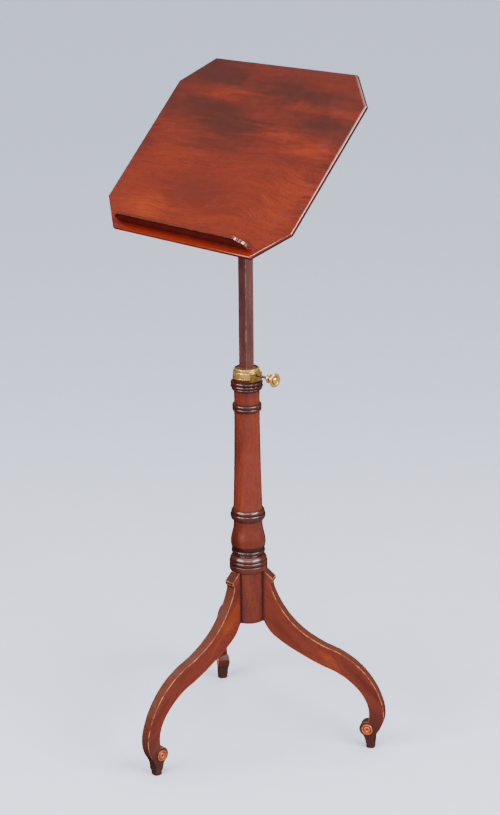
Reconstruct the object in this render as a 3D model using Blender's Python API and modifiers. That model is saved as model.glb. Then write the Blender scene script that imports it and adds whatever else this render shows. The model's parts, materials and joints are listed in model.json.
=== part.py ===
"""Adjustable reading stand in mahogany and brass.

Three scrolled legs carry a turned column. A square pole slides in the column
and is clamped by a thumbscrew in a brass collar. A canted board with a book
ledge tilts on a cross bolt at the head of the pole. Metres, +Z up, with the
floor at zero and the front of the stand towards -Y.
"""

import math

import bmesh
import bpy
from mathutils import Matrix

# Fits between pieces
SEAT_GAP = 0.0003
RUN_GAP = 0.0003
CUT_OVERRUN = 0.002
MERGE_DISTANCE = 0.000005
SMOOTH_ANGLE_DEG = 35.0
ARRIS_ANGLE_DEG = 50.0

# Column: a plain block between the legs, and the turning above it
COLUMN_FOOT = 0.2300
BLOCK_HEIGHT = 0.0980
BLOCK_RADIUS = 0.0310
BLOCK_CHAMFER = 0.0008
TURNING_HEIGHT = 0.3598
RING_RADIUS = 0.0343
BORE_FLOOR = 0.0320
COLUMN_STEPS = 24
BEAD_STEPS = 3
CURVE_STEPS = 5

# Mouldings of the turning, from its top (1) to the block (0), as shares of
# its height, and radii as shares of the widest ring's radius:
# kind, top height, bottom height, top radius, bottom radius, swell
MOULDING_SHARES = (
    ("line", 1.000, 0.984, 0.706, 0.712, 0.000),
    ("bead", 0.983, 0.968, 0.760, 0.775, 0.060),
    ("bead", 0.966, 0.951, 0.775, 0.785, 0.055),
    ("line", 0.949, 0.941, 0.770, 0.757, 0.000),
    ("line", 0.938, 0.934, 0.730, 0.722, 0.000),
    ("line", 0.930, 0.874, 0.668, 0.657, 0.000),
    ("bead", 0.871, 0.853, 0.690, 0.715, 0.050),
    ("bead", 0.848, 0.831, 0.720, 0.690, 0.050),
    ("taper", 0.827, 0.328, 0.661, 0.758, 0.000),
    ("bead", 0.324, 0.280, 0.766, 0.905, 0.060),
    ("bead", 0.277, 0.264, 0.890, 0.800, 0.030),
    ("swell", 0.259, 0.147, 0.755, 0.921, 0.000),
    ("round", 0.145, 0.114, 0.920, 0.825, 0.000),
    ("bead", 0.112, 0.085, 0.820, 0.800, 0.085),
    ("line", 0.081, 0.074, 0.720, 0.720, 0.000),
    ("bead", 0.072, 0.061, 0.765, 0.890, 0.030),
    ("bead", 0.058, 0.034, 0.915, 0.985, 0.030),
    ("line", 0.030, 0.026, 0.985, 1.000, 0.000),
    ("line", 0.006, 0.000, 1.000, 0.988, 0.000),
)
TAPER_POWER = 1.5

# Legs: one outline in a vertical plane through the column's axis
LEG_BEARINGS = {"front": -90.0, "right": 30.0, "left": 150.0}
LEG_REACH = 0.2550
LEG_THICKNESS_TOP = 0.0210
LEG_THICKNESS_FOOT = 0.0180
LEG_ARRIS = 0.0009
LEG_CURVE_STEPS = 2
SHOULDER_STEPS = 48
CAP_REACH = 0.0174
CAP_LIP = 0.0020
CAP_DROP = 0.0142
CAP_THICKNESS = 0.0055
CAP_UNDERCUT = 0.0033
FOOT_DEPTH = 0.0160
FOOT_SET_IN = 0.0170
SCROLL_RADIUS = 0.0150
SCROLL_SET_IN = 0.0303
SCROLL_HEIGHT = 0.0375
SCROLL_STEPS = 7
SCROLL_START_DEG = 84.0
SCROLL_END_DEG = 240.0

# The leg's two long edges. Reach: 0 at the block, 1 at the leg's reach.
# Height: 0 at the floor, 1 at the block's underside, 2 at its top.
LEG_TOP_SHARES = (
    (0.062, 1.714), (0.082, 1.569), (0.134, 1.337), (0.210, 1.095),
    (0.307, 0.950), (0.471, 0.854), (0.642, 0.788), (0.781, 0.700),
    (0.893, 0.579), (0.966, 0.447), (1.000, 0.307), (0.984, 0.209),
    (0.930, 0.100),
)
LEG_UNDERSIDE_SHARES = (
    (0.876, 0.283), (0.869, 0.354), (0.826, 0.448), (0.750, 0.532),
    (0.630, 0.616), (0.469, 0.678), (0.303, 0.755), (0.134, 0.851),
    (0.049, 0.921),
)

# Sliding dovetail on each leg, let into the block from below
TAIL_LENGTH = 0.0120
TAIL_ROOT_WIDTH = 0.0080
TAIL_END_WIDTH = 0.0120
TAIL_STOP = 0.0100
TAIL_LAP = 0.0025

# Turned roundels on both faces of each scroll
ROUNDEL_RADIUS = 0.0107
ROUNDEL_HEIGHT = 0.0026
ROUNDEL_STEPS = 18
# From the centre: radius share, height share
ROUNDEL_SHARES = (
    (0.00, 0.88), (0.10, 0.76), (0.19, 0.50), (0.32, 0.92), (0.48, 1.00),
    (0.64, 0.70), (0.70, 0.40), (0.80, 0.76), (0.92, 0.68), (1.00, 0.25),
)

# Iron plate under the block, which keeps the dovetails up
PLATE_RADIUS = 0.0250
PLATE_THICKNESS = 0.0020
PLATE_SCREW_CIRCLE = 0.0180
PLATE_SCREW_BEARINGS = (-30.0, 90.0, 210.0)
PLATE_SCREW_LENGTH = 0.0160
PLATE_STEPS = 24

# Wood screws
SCREW_HEAD_RADIUS = 0.0030
SCREW_HEAD_HEIGHT = 0.0018
SCREW_RIM = 0.0003
SCREW_SHANK_RADIUS = 0.0014
SCREW_POINT_LENGTH = 0.0030
SCREW_POINT_RADIUS = 0.0004
SCREW_SLOT_WIDTH = 0.0008
SCREW_SLOT_DEPTH = 0.0007
SCREW_STEPS = 8

# Brass collar on the column's top
COLLAR_HEIGHT = 0.0174
COLLAR_TOP_BAND = 0.0052
COLLAR_TOP_RADIUS = 0.0221
COLLAR_BAND_RADIUS = 0.0236
COLLAR_BAND_SWELL = 0.0008
COLLAR_RIM_RADIUS = 0.0250
COLLAR_RIM_HEIGHT = 0.0018
COLLAR_CHAMFER = 0.0006
SLEEVE_RADIUS = 0.0160
SLEEVE_LENGTH = 0.0280
COLLAR_STEPS = 32

# Square boss on the collar's side, for the thumbscrew
BOSS_WIDTH = 0.0250
BOSS_REACH = 0.0264
BOSS_DROP = 0.0120
BOSS_RISE = 0.0041
BOSS_BEVEL = 0.0010

# Two pins fix the sleeve in the column
COLLAR_PINS = {"back": 90.0, "left": 180.0}
PIN_RADIUS = 0.0013
PIN_LENGTH = 0.0105
PIN_DEPTH = 0.0033
PIN_STEPS = 12

# Thumbscrew, on a level axis along +X, and its pressure pad
SCREW_AXIS_DROP = 0.0093
THREAD_RADIUS = 0.0025
THREAD_STEPS = 24
PAD_RADIUS = 0.0045
PAD_THICKNESS = 0.0035
PAD_TRAVEL = 0.0030
PAD_CHAMFER = 0.0004
KNOB_REACH = 0.0745
KNOB_LENGTH = 0.0235
KNOB_RADIUS = 0.0124
# From the outer end: radius share of the knob, distance share of its length
KNOB_SHARES = (
    (0.00, 0.00), (0.20, 0.02), (0.32, 0.07), (0.38, 0.12), (0.88, 0.10),
    (1.00, 0.14), (1.00, 0.19), (0.90, 0.23), (0.50, 0.28), (0.36, 0.36),
    (0.40, 0.44), (0.58, 0.48), (0.60, 0.55), (0.44, 0.61), (0.46, 0.66),
    (0.66, 0.72), (0.68, 0.82), (0.50, 0.92), (0.30, 1.00),
)

# Pole
POLE_SIDE = 0.0190
POLE_CHAMFER = 0.0010
POLE_DROP_TRAVEL = 0.280
POLE_END_GAP = 0.0050
HEAD_STEPS = 16

# Board
BOARD_WIDTH = 0.4496
BOARD_DEPTH = 0.3616
BOARD_THICKNESS = 0.0080
BOARD_CANT = 0.0560
BOARD_TILT_DEG = 46.9
PIVOT_HEIGHT = 1.0575
PIVOT_DEPTH = 0.0410
BOARD_EDGE_DEPTH = 0.0034
BOARD_UNDER_CHAMFER = 0.0006
# Thumb moulding round the board: inset share, rise share of its depth
BOARD_EDGE_SHARES = ((0.06, 0.30), (0.18, 0.26), (0.36, 0.17), (0.22, 0.02), (0.08, 0.25))

# Book ledge near the board's lower edge
LEDGE_LENGTH = 0.3200
LEDGE_HEIGHT = 0.0280
LEDGE_THICKNESS = 0.0060
LEDGE_SET_UP = 0.0155
LEDGE_ARRIS = 0.0008
LEDGE_ARRIS_ANGLE_DEG = 60.0
LEDGE_END_RUN = 0.0170
# Shaped end: run share from the top corner (0) to the foot (1), height share
LEDGE_END_SHARES = (
    (1.00, 0.00), (1.00, 0.20), (0.94, 0.42), (0.82, 0.60), (0.62, 0.73),
    (0.34, 0.76), (0.22, 0.82), (0.14, 0.92), (0.00, 1.00),
)
LEDGE_SCREW_PLACES = (-0.1150, 0.0, 0.1150)
LEDGE_SCREW_LENGTH = 0.0180

# Bearers under the board, with the ears that the pole's head turns between
BEARER_LENGTH = 0.2500
BEARER_WIDTH = 0.0145
BEARER_HEIGHT = 0.0150
BEARER_END_RUN = 0.0160
BEARER_END_HEIGHT = 0.0070
BEARER_ARRIS = 0.0010
BEARER_ARRIS_ANGLE_DEG = 75.0
EAR_RADIUS = 0.0215
EAR_SHOULDER = 0.0085
EAR_STEPS = 14
BEARER_SCREW_PLACES = (-0.0950, 0.0450, 0.0950)
BEARER_SCREW_LENGTH = 0.0200

# Cross bolt, washer and wing nut
BOLT_RADIUS = 0.0039
BOLT_HEAD_RADIUS = 0.0092
BOLT_HEAD_HEIGHT = 0.0045
BOLT_NUT_END = 0.0125
BOLT_CHAMFER = 0.0008
BOLT_STEPS = 20
BOLT_DOME_STEPS = 4
WASHER_RADIUS = 0.0100
WASHER_THICKNESS = 0.0016
NUT_RADIUS = 0.0070
NUT_LENGTH = 0.0085
NUT_CHAMFER = 0.0010
WING_SPAN = 0.0190
WING_THICKNESS = 0.0032
WING_RISE = 0.0060
WING_ROUND = 0.0050
WING_TIP_START_DEG = -40.0
WING_TIP_END_DEG = 130.0
WING_STEPS = 8
WING_TURN_DEG = 35.0

# Colours as the photograph shows them: linear red, green, blue, then
# roughness and metallic
FINISHES = {
    "polished_mahogany": ((0.290, 0.060, 0.026), 0.28, 0.0),
    "turned_mahogany": ((0.240, 0.045, 0.018), 0.26, 0.0),
    "dark_mahogany": ((0.115, 0.030, 0.018), 0.32, 0.0),
    "boxwood": ((0.520, 0.150, 0.045), 0.35, 0.0),
    "old_brass": ((0.560, 0.360, 0.120), 0.30, 1.0),
    "iron": ((0.060, 0.055, 0.050), 0.55, 1.0),
    "steel": ((0.320, 0.310, 0.290), 0.40, 1.0),
}

# Worked out from the sizes above
BLOCK_TOP = COLUMN_FOOT + BLOCK_HEIGHT
COLUMN_TOP = BLOCK_TOP + TURNING_HEIGHT
COLUMN_TOP_RADIUS = RING_RADIUS * MOULDING_SHARES[0][4]
COLLAR_FOOT = COLUMN_TOP + SEAT_GAP
COLLAR_TOP = COLLAR_FOOT + COLLAR_HEIGHT
SCREW_AXIS = COLLAR_TOP - SCREW_AXIS_DROP
POLE_HALF = POLE_SIDE / 2
POLE_CORNER = math.hypot(POLE_HALF, POLE_HALF - POLE_CHAMFER)
BORE_RADIUS = (POLE_CORNER + RUN_GAP) / math.cos(math.pi / COLUMN_STEPS)
BORE_BOTTOM = COLUMN_FOOT + BORE_FLOOR
POLE_FOOT = BORE_BOTTOM + POLE_DROP_TRAVEL + POLE_END_GAP
PAD_FACE = POLE_HALF + SEAT_GAP
PAD_BACK = PAD_FACE + PAD_THICKNESS
SCREW_TIP = PAD_BACK + SEAT_GAP
BEARER_INNER = POLE_HALF + RUN_GAP
BEARER_OUTER = BEARER_INNER + BEARER_WIDTH
BOARD_UNDERSIDE = PIVOT_DEPTH - BOARD_THICKNESS
BEARER_TOP = BOARD_UNDERSIDE - SEAT_GAP
BEARER_UNDERSIDE = BEARER_TOP - BEARER_HEIGHT
LEDGE_FOOT = PIVOT_DEPTH + SEAT_GAP
LEDGE_PLACE = LEDGE_SET_UP - BOARD_DEPTH / 2
FOOT_CENTRE = LEG_REACH - FOOT_SET_IN - FOOT_DEPTH / 2
SCROLL_PLACE = LEG_REACH - SCROLL_SET_IN
REAR_BEARING = math.radians(LEG_BEARINGS["right"])
REAR_REACH = ((LEG_REACH - LEG_ARRIS) * math.sin(REAR_BEARING)
              + LEG_THICKNESS_FOOT / 2 * math.cos(REAR_BEARING))
COLUMN_PLACE = (LEG_REACH - REAR_REACH) / 2


def clear_scene():
    """Remove every object, so that the model starts from nothing."""
    for item in list(bpy.data.objects):
        bpy.data.objects.remove(item, do_unlink=True)


def add_collection(name):
    """Add a collection to the scene."""
    collection = bpy.data.collections.new(name)
    bpy.context.scene.collection.children.link(collection)
    return collection


def add_finish(name):
    """Make the Principled material of one finish."""
    colour, roughness, metallic = FINISHES[name]
    material = bpy.data.materials.new(name)
    material.use_nodes = True
    shader = material.node_tree.nodes["Principled BSDF"]
    shader.inputs["Base Color"].default_value = (*colour, 1.0)
    shader.inputs["Roughness"].default_value = roughness
    shader.inputs["Metallic"].default_value = metallic
    material.diffuse_color = (*colour, 1.0)
    return material


def add_empty(name, collection, parent=None, location=(0, 0, 0), rotation=(0, 0, 0)):
    """Add an empty, which places what is parented to it."""
    empty = bpy.data.objects.new(name, None)
    collection.objects.link(empty)
    empty.parent = parent
    empty.location = location
    empty.rotation_euler = rotation
    return empty


def add_piece(name, mesh, place, finish=None, location=(0, 0, 0), rotation=(0, 0, 0)):
    """Add a mesh object; place is its collection and its parent."""
    collection, parent = place
    piece = bpy.data.objects.new(name, mesh)
    collection.objects.link(piece)
    piece.parent = parent
    piece.location = location
    piece.rotation_euler = rotation
    if finish is None:
        piece.hide_render = True
        piece.display_type = 'WIRE'
    elif not mesh.materials:
        mesh.materials.append(finish)
    return piece


def evaluated_mesh(piece):
    """Return the mesh of an object with its modifiers applied."""
    bpy.context.view_layer.update()
    depsgraph = bpy.context.evaluated_depsgraph_get()
    return bpy.data.meshes.new_from_object(piece.evaluated_get(depsgraph))


def weld_caps(mesh):
    """Weld a filled outline's caps to its walls, each cap as one face."""
    work = bmesh.new()
    work.from_mesh(mesh)
    bmesh.ops.remove_doubles(work, verts=work.verts, dist=MERGE_DISTANCE)
    for side in (1, -1):
        cap = [face for face in work.faces
               if all(vertex.co.z * side > 0 for vertex in face.verts)]
        bmesh.ops.dissolve_faces(work, faces=cap)
    bmesh.ops.recalc_face_normals(work, faces=work.faces)
    work.to_mesh(mesh)
    work.free()


def smooth_shade(mesh):
    """Shade a round piece smooth, but for its sharp edges."""
    mesh.shade_smooth()
    mesh.set_sharp_from_angle(angle=math.radians(SMOOTH_ANGLE_DEG))


def chain_mesh(name, points):
    """Make an open chain of edges from radius and height pairs."""
    mesh = bpy.data.meshes.new(name)
    corners = [(radius, 0.0, height) for radius, height in points]
    links = [(index, index + 1) for index in range(len(points) - 1)]
    mesh.from_pydata(corners, links, [])
    return mesh


def turned(name, points, steps, place, finish=None, location=(0, 0, 0), rotation=(0, 0, 0)):
    """Turn a profile round Z; it runs down the outer side from the top."""
    piece = add_piece(name, chain_mesh(name, points), place, finish, location, rotation)
    screw = piece.modifiers.new("turning", 'SCREW')
    screw.axis = 'Z'
    screw.steps = steps
    screw.render_steps = steps
    screw.use_merge_vertices = True
    screw.merge_threshold = MERGE_DISTANCE
    screw.use_smooth_shade = True
    return piece


def cylinder(name, radius, low, high, steps, place, finish=None, location=(0, 0, 0),
             rotation=(0, 0, 0)):
    """Make a plain round bar along Z, from one height to another."""
    mesh = bpy.data.meshes.new(name)
    work = bmesh.new()
    bmesh.ops.create_cone(work, cap_ends=True, segments=steps, radius1=radius,
                          radius2=radius, depth=high - low,
                          matrix=Matrix.Translation((0, 0, (high + low) / 2)))
    work.to_mesh(mesh)
    work.free()
    smooth_shade(mesh)
    return add_piece(name, mesh, place, finish, location, rotation)


def box(name, low, high, place, finish=None, location=(0, 0, 0), rotation=(0, 0, 0)):
    """Make a box between two corners."""
    mesh = bpy.data.meshes.new(name)
    work = bmesh.new()
    bmesh.ops.create_cube(work, size=1.0)
    for corner in work.verts:
        for axis in range(3):
            middle = (low[axis] + high[axis]) / 2
            corner.co[axis] = middle + corner.co[axis] * (high[axis] - low[axis])
    work.to_mesh(mesh)
    work.free()
    return add_piece(name, mesh, place, finish, location, rotation)


def outline_mesh(name, points, thickness, corners=None, steps=1):
    """Fill a flat outline and give it a thickness; corners marks smooth points."""
    curve = bpy.data.curves.new(name, 'CURVE')
    curve.dimensions = '2D'
    curve.fill_mode = 'BOTH'
    curve.extrude = thickness / 2
    curve.resolution_u = steps
    if corners is None:
        spline = curve.splines.new('POLY')
        spline.points.add(len(points) - 1)
        for knot, (across, up) in zip(spline.points, points):
            knot.co = (across, up, 0, 1)
    else:
        spline = curve.splines.new('BEZIER')
        spline.bezier_points.add(len(points) - 1)
        for knot, (across, up), corner in zip(spline.bezier_points, points, corners):
            knot.co = (across, up, 0)
            kind = 'VECTOR' if corner else 'AUTO'
            knot.handle_left_type = kind
            knot.handle_right_type = kind
    spline.use_cyclic_u = True
    holder = bpy.data.objects.new(name, curve)
    bpy.context.scene.collection.objects.link(holder)
    mesh = evaluated_mesh(holder)
    bpy.data.objects.remove(holder, do_unlink=True)
    bpy.data.curves.remove(curve)
    weld_caps(mesh)
    mesh.name = name
    return mesh


def stand_up(mesh):
    """Turn a flat outline so that it stands in the XZ plane."""
    mesh.transform(Matrix.Rotation(math.pi / 2, 4, 'X'))


def face_sideways(mesh):
    """Turn a flat outline so that it lies in the YZ plane, up along Z."""
    mesh.transform(Matrix(((0, 0, 1, 0), (1, 0, 0, 0), (0, 1, 0, 0), (0, 0, 0, 1))))


def cut(piece, cutter, operation='DIFFERENCE'):
    """Cut a piece with a cutter, or join the two."""
    modifier = piece.modifiers.new(cutter.name, 'BOOLEAN')
    modifier.operation = operation
    modifier.solver = 'EXACT'
    modifier.object = cutter


def round_edges(piece, width, angle_deg=ARRIS_ANGLE_DEG):
    """Take the arris off a piece's edges that are sharper than an angle."""
    bevel = piece.modifiers.new("arris", 'BEVEL')
    bevel.width = width
    bevel.segments = 1
    bevel.limit_method = 'ANGLE'
    bevel.angle_limit = math.radians(angle_deg)


def arc(centre, radius, start_deg, end_deg, steps):
    """Return points along an arc."""
    points = []
    for index in range(steps + 1):
        angle = math.radians(start_deg + (end_deg - start_deg) * index / steps)
        points.append((centre[0] + radius * math.cos(angle),
                       centre[1] + radius * math.sin(angle)))
    return points


def moulding_points(kind, top, bottom, top_radius, bottom_radius, swell):
    """Return the height and radius shares along one moulding."""
    steps = {"line": 1, "bead": BEAD_STEPS, "round": BEAD_STEPS}.get(kind, CURVE_STEPS)
    points = []
    for index in range(steps + 1):
        share = index / steps
        blend = share
        if kind == "taper":
            blend = share ** TAPER_POWER
        elif kind == "swell":
            blend = (1 - math.cos(math.pi * share)) / 2
        elif kind == "round":
            blend = share * share
        radius = top_radius + (bottom_radius - top_radius) * blend
        radius += swell * math.sin(math.pi * share)
        points.append((top + (bottom - top) * share, radius))
    return points


def column_profile():
    """Return the column's closed outline: outside, underside, then the bore."""
    points = [(0.0, COLUMN_TOP)]
    for moulding in MOULDING_SHARES:
        for height, radius in moulding_points(*moulding):
            points.append((RING_RADIUS * radius, BLOCK_TOP + TURNING_HEIGHT * height))
    points.append((BLOCK_RADIUS, BLOCK_TOP))
    points.append((BLOCK_RADIUS, COLUMN_FOOT + BLOCK_CHAMFER))
    points.append((BLOCK_RADIUS - BLOCK_CHAMFER, COLUMN_FOOT))
    points.append((0.0, COLUMN_FOOT))
    return points


def bore_profile():
    """Return the outline of the pole's bore and of the sleeve's seat above it."""
    seat = SLEEVE_RADIUS + SEAT_GAP
    seat_floor = COLLAR_FOOT - SLEEVE_LENGTH - SEAT_GAP
    return [(0.0, COLUMN_TOP + CUT_OVERRUN), (seat, COLUMN_TOP + CUT_OVERRUN),
            (seat, seat_floor), (BORE_RADIUS, seat_floor), (BORE_RADIUS, BORE_BOTTOM),
            (0.0, BORE_BOTTOM)]


def leg_point(reach, height):
    """Place a point of the leg's outline from its two shares."""
    across = BLOCK_RADIUS + reach * (LEG_REACH - BLOCK_RADIUS)
    if height > 1:
        return across, COLUMN_FOOT + (height - 1) * BLOCK_HEIGHT
    return across, height * COLUMN_FOOT


def leg_outline():
    """Return the leg's outline and which of its points are corners."""
    inside = BLOCK_RADIUS - TAIL_LAP
    cap_top = BLOCK_TOP - SEAT_GAP
    nose = BLOCK_RADIUS + CAP_REACH
    foot_inner = FOOT_CENTRE - FOOT_DEPTH / 2
    foot_outer = FOOT_CENTRE + FOOT_DEPTH / 2
    foot_top = SCROLL_HEIGHT - SCROLL_RADIUS
    marked = [((inside, cap_top), True),
              ((BLOCK_RADIUS + CAP_LIP, cap_top), True),
              ((nose, cap_top - CAP_DROP), True),
              ((nose, cap_top - CAP_DROP - CAP_THICKNESS), True),
              ((nose - CAP_UNDERCUT, cap_top - CAP_DROP - CAP_THICKNESS - CAP_UNDERCUT), True)]
    marked += [(leg_point(*shares), False) for shares in LEG_TOP_SHARES]
    marked += [((foot_outer, foot_top / 2), False), ((foot_outer, 0.0), True),
               ((foot_inner, 0.0), True), ((foot_inner, foot_top / 2), False)]
    scroll = arc((SCROLL_PLACE, SCROLL_HEIGHT), SCROLL_RADIUS,
                 SCROLL_END_DEG, SCROLL_START_DEG, SCROLL_STEPS)
    marked += [(point, False) for point in scroll[:-1]]
    marked.append((scroll[-1], True))
    marked += [(leg_point(*shares), False) for shares in LEG_UNDERSIDE_SHARES]
    marked += [((BLOCK_RADIUS, COLUMN_FOOT), True), ((inside, COLUMN_FOOT), True)]
    return [point for point, _ in marked], [corner for _, corner in marked]


def leg_half_thickness(across):
    """Return half of the leg's thickness at a distance from the column's axis."""
    share = (across - BLOCK_RADIUS) / (LEG_REACH - BLOCK_RADIUS)
    return (LEG_THICKNESS_TOP + (LEG_THICKNESS_FOOT - LEG_THICKNESS_TOP) * share) / 2


def leg_mesh():
    """Make the leg's mesh, thinner towards the foot, with the column along Z."""
    points, corners = leg_outline()
    mesh = outline_mesh("leg", points, 1.0, corners, LEG_CURVE_STEPS)
    stand_up(mesh)
    for vertex in mesh.vertices:
        side = 1 if vertex.co.y > 0 else -1
        vertex.co.y = side * leg_half_thickness(vertex.co.x)
    return mesh


def tail_mesh(name, gap):
    """Make the dovetail, or its socket where gap widens it."""
    inner = BLOCK_RADIUS - TAIL_LENGTH - gap
    outer = BLOCK_RADIUS + TAIL_LAP
    slope = (TAIL_END_WIDTH - TAIL_ROOT_WIDTH) / TAIL_LENGTH
    inner_half = TAIL_END_WIDTH / 2 + gap
    outer_half = inner_half - slope * (outer - inner) / 2
    low = COLUMN_FOOT
    high = BLOCK_TOP - TAIL_STOP + gap
    if gap:
        low -= CUT_OVERRUN
    outline = [(inner, -inner_half), (outer, -outer_half), (outer, outer_half),
               (inner, inner_half)]
    mesh = outline_mesh(name, outline, high - low)
    mesh.transform(Matrix.Translation((0, 0, (high + low) / 2)))
    return mesh


def wood_screw_profile(length, gap=0.0, overrun=0.0):
    """Return a wood screw's outline from its head, at zero, down to its point."""
    head = SCREW_HEAD_RADIUS + gap
    shank = SCREW_SHANK_RADIUS + gap
    point = SCREW_POINT_RADIUS + gap
    return [(0.0, overrun), (head, overrun), (head, -SCREW_RIM), (shank, -SCREW_HEAD_HEIGHT),
            (shank, SCREW_POINT_LENGTH - length), (point, -length - gap),
            (0.0, -length - gap)]


def wood_screw_mesh(length, scratch):
    """Make a slotted wood screw once, so that its copies can share the mesh."""
    blank = turned("screw_blank", wood_screw_profile(length), SCREW_STEPS, scratch)
    half = SCREW_SLOT_WIDTH / 2
    slot = box("screw_slot", (-SCREW_HEAD_RADIUS - CUT_OVERRUN, -half, -SCREW_SLOT_DEPTH),
               (SCREW_HEAD_RADIUS + CUT_OVERRUN, half, CUT_OVERRUN), scratch)
    cut(blank, slot)
    mesh = evaluated_mesh(blank)
    bpy.data.objects.remove(blank, do_unlink=True)
    bpy.data.objects.remove(slot, do_unlink=True)
    mesh.name = "wood_screw"
    smooth_shade(mesh)
    return mesh


class Stand:
    """Builds the stand's pieces and keeps what they share."""

    def __init__(self):
        self.parts = add_collection("reading_stand")
        self.cutters = add_collection("cutters")
        self.finish = {name: add_finish(name) for name in FINISHES}
        self.axis = add_empty("stand_axis", self.parts, location=(0, COLUMN_PLACE, 0))
        self.clamp = add_empty("clamp_axis", self.parts, self.axis,
                               (0, 0, SCREW_AXIS), (0, math.pi / 2, 0))
        self.pivot = add_empty("board_pivot", self.parts, self.axis,
                               (0, 0, PIVOT_HEIGHT), (math.radians(BOARD_TILT_DEG), 0, 0))
        self.cross = add_empty("bolt_axis", self.parts, self.pivot,
                               rotation=(0, math.pi / 2, 0))

    def add_screw(self, name, mesh, length, parent, location, holes):
        """Drive a screw upwards, with its head down, and cut its holes."""
        turn = (math.pi, 0, 0)
        add_piece(name, mesh, (self.parts, parent), self.finish["iron"], location, turn)
        hole = turned("hole_" + name, wood_screw_profile(length, RUN_GAP, CUT_OVERRUN),
                      SCREW_STEPS, (self.cutters, parent), location=location, rotation=turn)
        for piece in holes:
            cut(piece, hole)

    def build_column(self):
        """Turn the column, bore it and cut the legs' sockets in its block."""
        column = turned("column", column_profile(), COLUMN_STEPS, (self.parts, self.axis),
                        self.finish["turned_mahogany"])
        bore = turned("cut_bore", bore_profile(), COLUMN_STEPS, (self.cutters, self.axis))
        cut(column, bore)
        socket = tail_mesh("socket", SEAT_GAP)
        for name, bearing in LEG_BEARINGS.items():
            cutter = add_piece("cut_socket_" + name, socket, (self.cutters, self.axis),
                               rotation=(0, 0, math.radians(bearing)))
            cut(column, cutter)
        return column

    def build_legs(self):
        """Saw out the legs, with their dovetails and their roundels."""
        mesh = leg_mesh()
        mesh.materials.append(self.finish["turned_mahogany"])
        tail = tail_mesh("tail", 0.0)
        shoulder = cylinder("cut_shoulder", BLOCK_RADIUS + SEAT_GAP, COLUMN_FOOT - CUT_OVERRUN,
                            BLOCK_TOP + CUT_OVERRUN, SHOULDER_STEPS,
                            (self.cutters, self.axis))
        roundel_mesh = None
        for name, bearing in LEG_BEARINGS.items():
            turn = (0, 0, math.radians(bearing))
            leg = add_piece("leg_" + name, mesh, (self.parts, self.axis),
                            self.finish["turned_mahogany"], rotation=turn)
            round_edges(leg, LEG_ARRIS)
            cut(leg, shoulder)
            key = add_piece("join_tail_" + name, tail, (self.cutters, self.axis), rotation=turn)
            cut(leg, key, 'UNION')
            for side, sign in (("a", 1), ("b", -1)):
                face = leg_half_thickness(SCROLL_PLACE - ROUNDEL_RADIUS) + SEAT_GAP
                place = (SCROLL_PLACE, sign * face, SCROLL_HEIGHT)
                roundel = turned("roundel_" + name + "_" + side, roundel_profile(),
                                 ROUNDEL_STEPS, (self.parts, leg), self.finish["boxwood"],
                                 place, (-sign * math.pi / 2, 0, 0))
                if roundel_mesh is None:
                    roundel_mesh = roundel.data
                roundel.data = roundel_mesh

    def build_plate(self, column):
        """Screw the iron plate to the block's underside."""
        top = COLUMN_FOOT - SEAT_GAP
        plate = cylinder("base_plate", PLATE_RADIUS, top - PLATE_THICKNESS, top, PLATE_STEPS,
                         (self.parts, self.axis), self.finish["iron"])
        mesh = wood_screw_mesh(PLATE_SCREW_LENGTH, (self.cutters, None))
        for index, bearing in enumerate(PLATE_SCREW_BEARINGS, 1):
            angle = math.radians(bearing)
            place = (PLATE_SCREW_CIRCLE * math.cos(angle), PLATE_SCREW_CIRCLE * math.sin(angle),
                     top - PLATE_THICKNESS)
            self.add_screw(f"plate_screw_{index}", mesh, PLATE_SCREW_LENGTH, self.axis, place,
                           (plate, column))

    def build_collar(self, column):
        """Turn the brass collar, with its boss, square hole and sleeve."""
        collar = turned("collar", collar_profile(), COLLAR_STEPS, (self.parts, self.axis),
                        self.finish["old_brass"])
        loose = (self.cutters, self.axis)
        boss = box("join_boss", (SLEEVE_RADIUS, -BOSS_WIDTH / 2, SCREW_AXIS - BOSS_DROP),
                   (BOSS_REACH, BOSS_WIDTH / 2, SCREW_AXIS + BOSS_RISE), loose)
        round_edges(boss, BOSS_BEVEL)
        wood = cylinder("cut_column_top", COLUMN_TOP_RADIUS + SEAT_GAP,
                        COLUMN_TOP - SLEEVE_LENGTH, COLLAR_FOOT + COLLAR_RIM_HEIGHT / 2,
                        COLLAR_STEPS, loose)
        cut(boss, wood)
        cut(collar, boss, 'UNION')
        half = POLE_HALF + RUN_GAP
        square = box("cut_square", (-half, -half, COLLAR_FOOT - SLEEVE_LENGTH - CUT_OVERRUN),
                     (half, half, COLLAR_TOP + CUT_OVERRUN), loose)
        cut(collar, square)
        place = (self.cutters, self.clamp)
        pocket = cylinder("cut_pocket", PAD_RADIUS + RUN_GAP, 0.0,
                          PAD_BACK + PAD_TRAVEL + SEAT_GAP, THREAD_STEPS, place)
        thread = cylinder("cut_thread", THREAD_RADIUS + RUN_GAP, 0.0,
                          BOSS_REACH + CUT_OVERRUN, THREAD_STEPS, place)
        cut(collar, pocket)
        cut(collar, thread)
        level = COLUMN_TOP - PIN_DEPTH
        for name, bearing in COLLAR_PINS.items():
            turn = (0, math.pi / 2, math.radians(bearing))
            outer = COLUMN_TOP_RADIUS - SEAT_GAP
            cylinder("collar_pin_" + name, PIN_RADIUS, outer - PIN_LENGTH, outer, PIN_STEPS,
                     (self.parts, self.axis), self.finish["old_brass"], (0, 0, level), turn)
            hole = cylinder("cut_pin_" + name, PIN_RADIUS + RUN_GAP,
                            outer - PIN_LENGTH - SEAT_GAP, outer + CUT_OVERRUN, PIN_STEPS,
                            loose, location=(0, 0, level), rotation=turn)
            cut(collar, hole)
            cut(column, hole)

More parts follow.
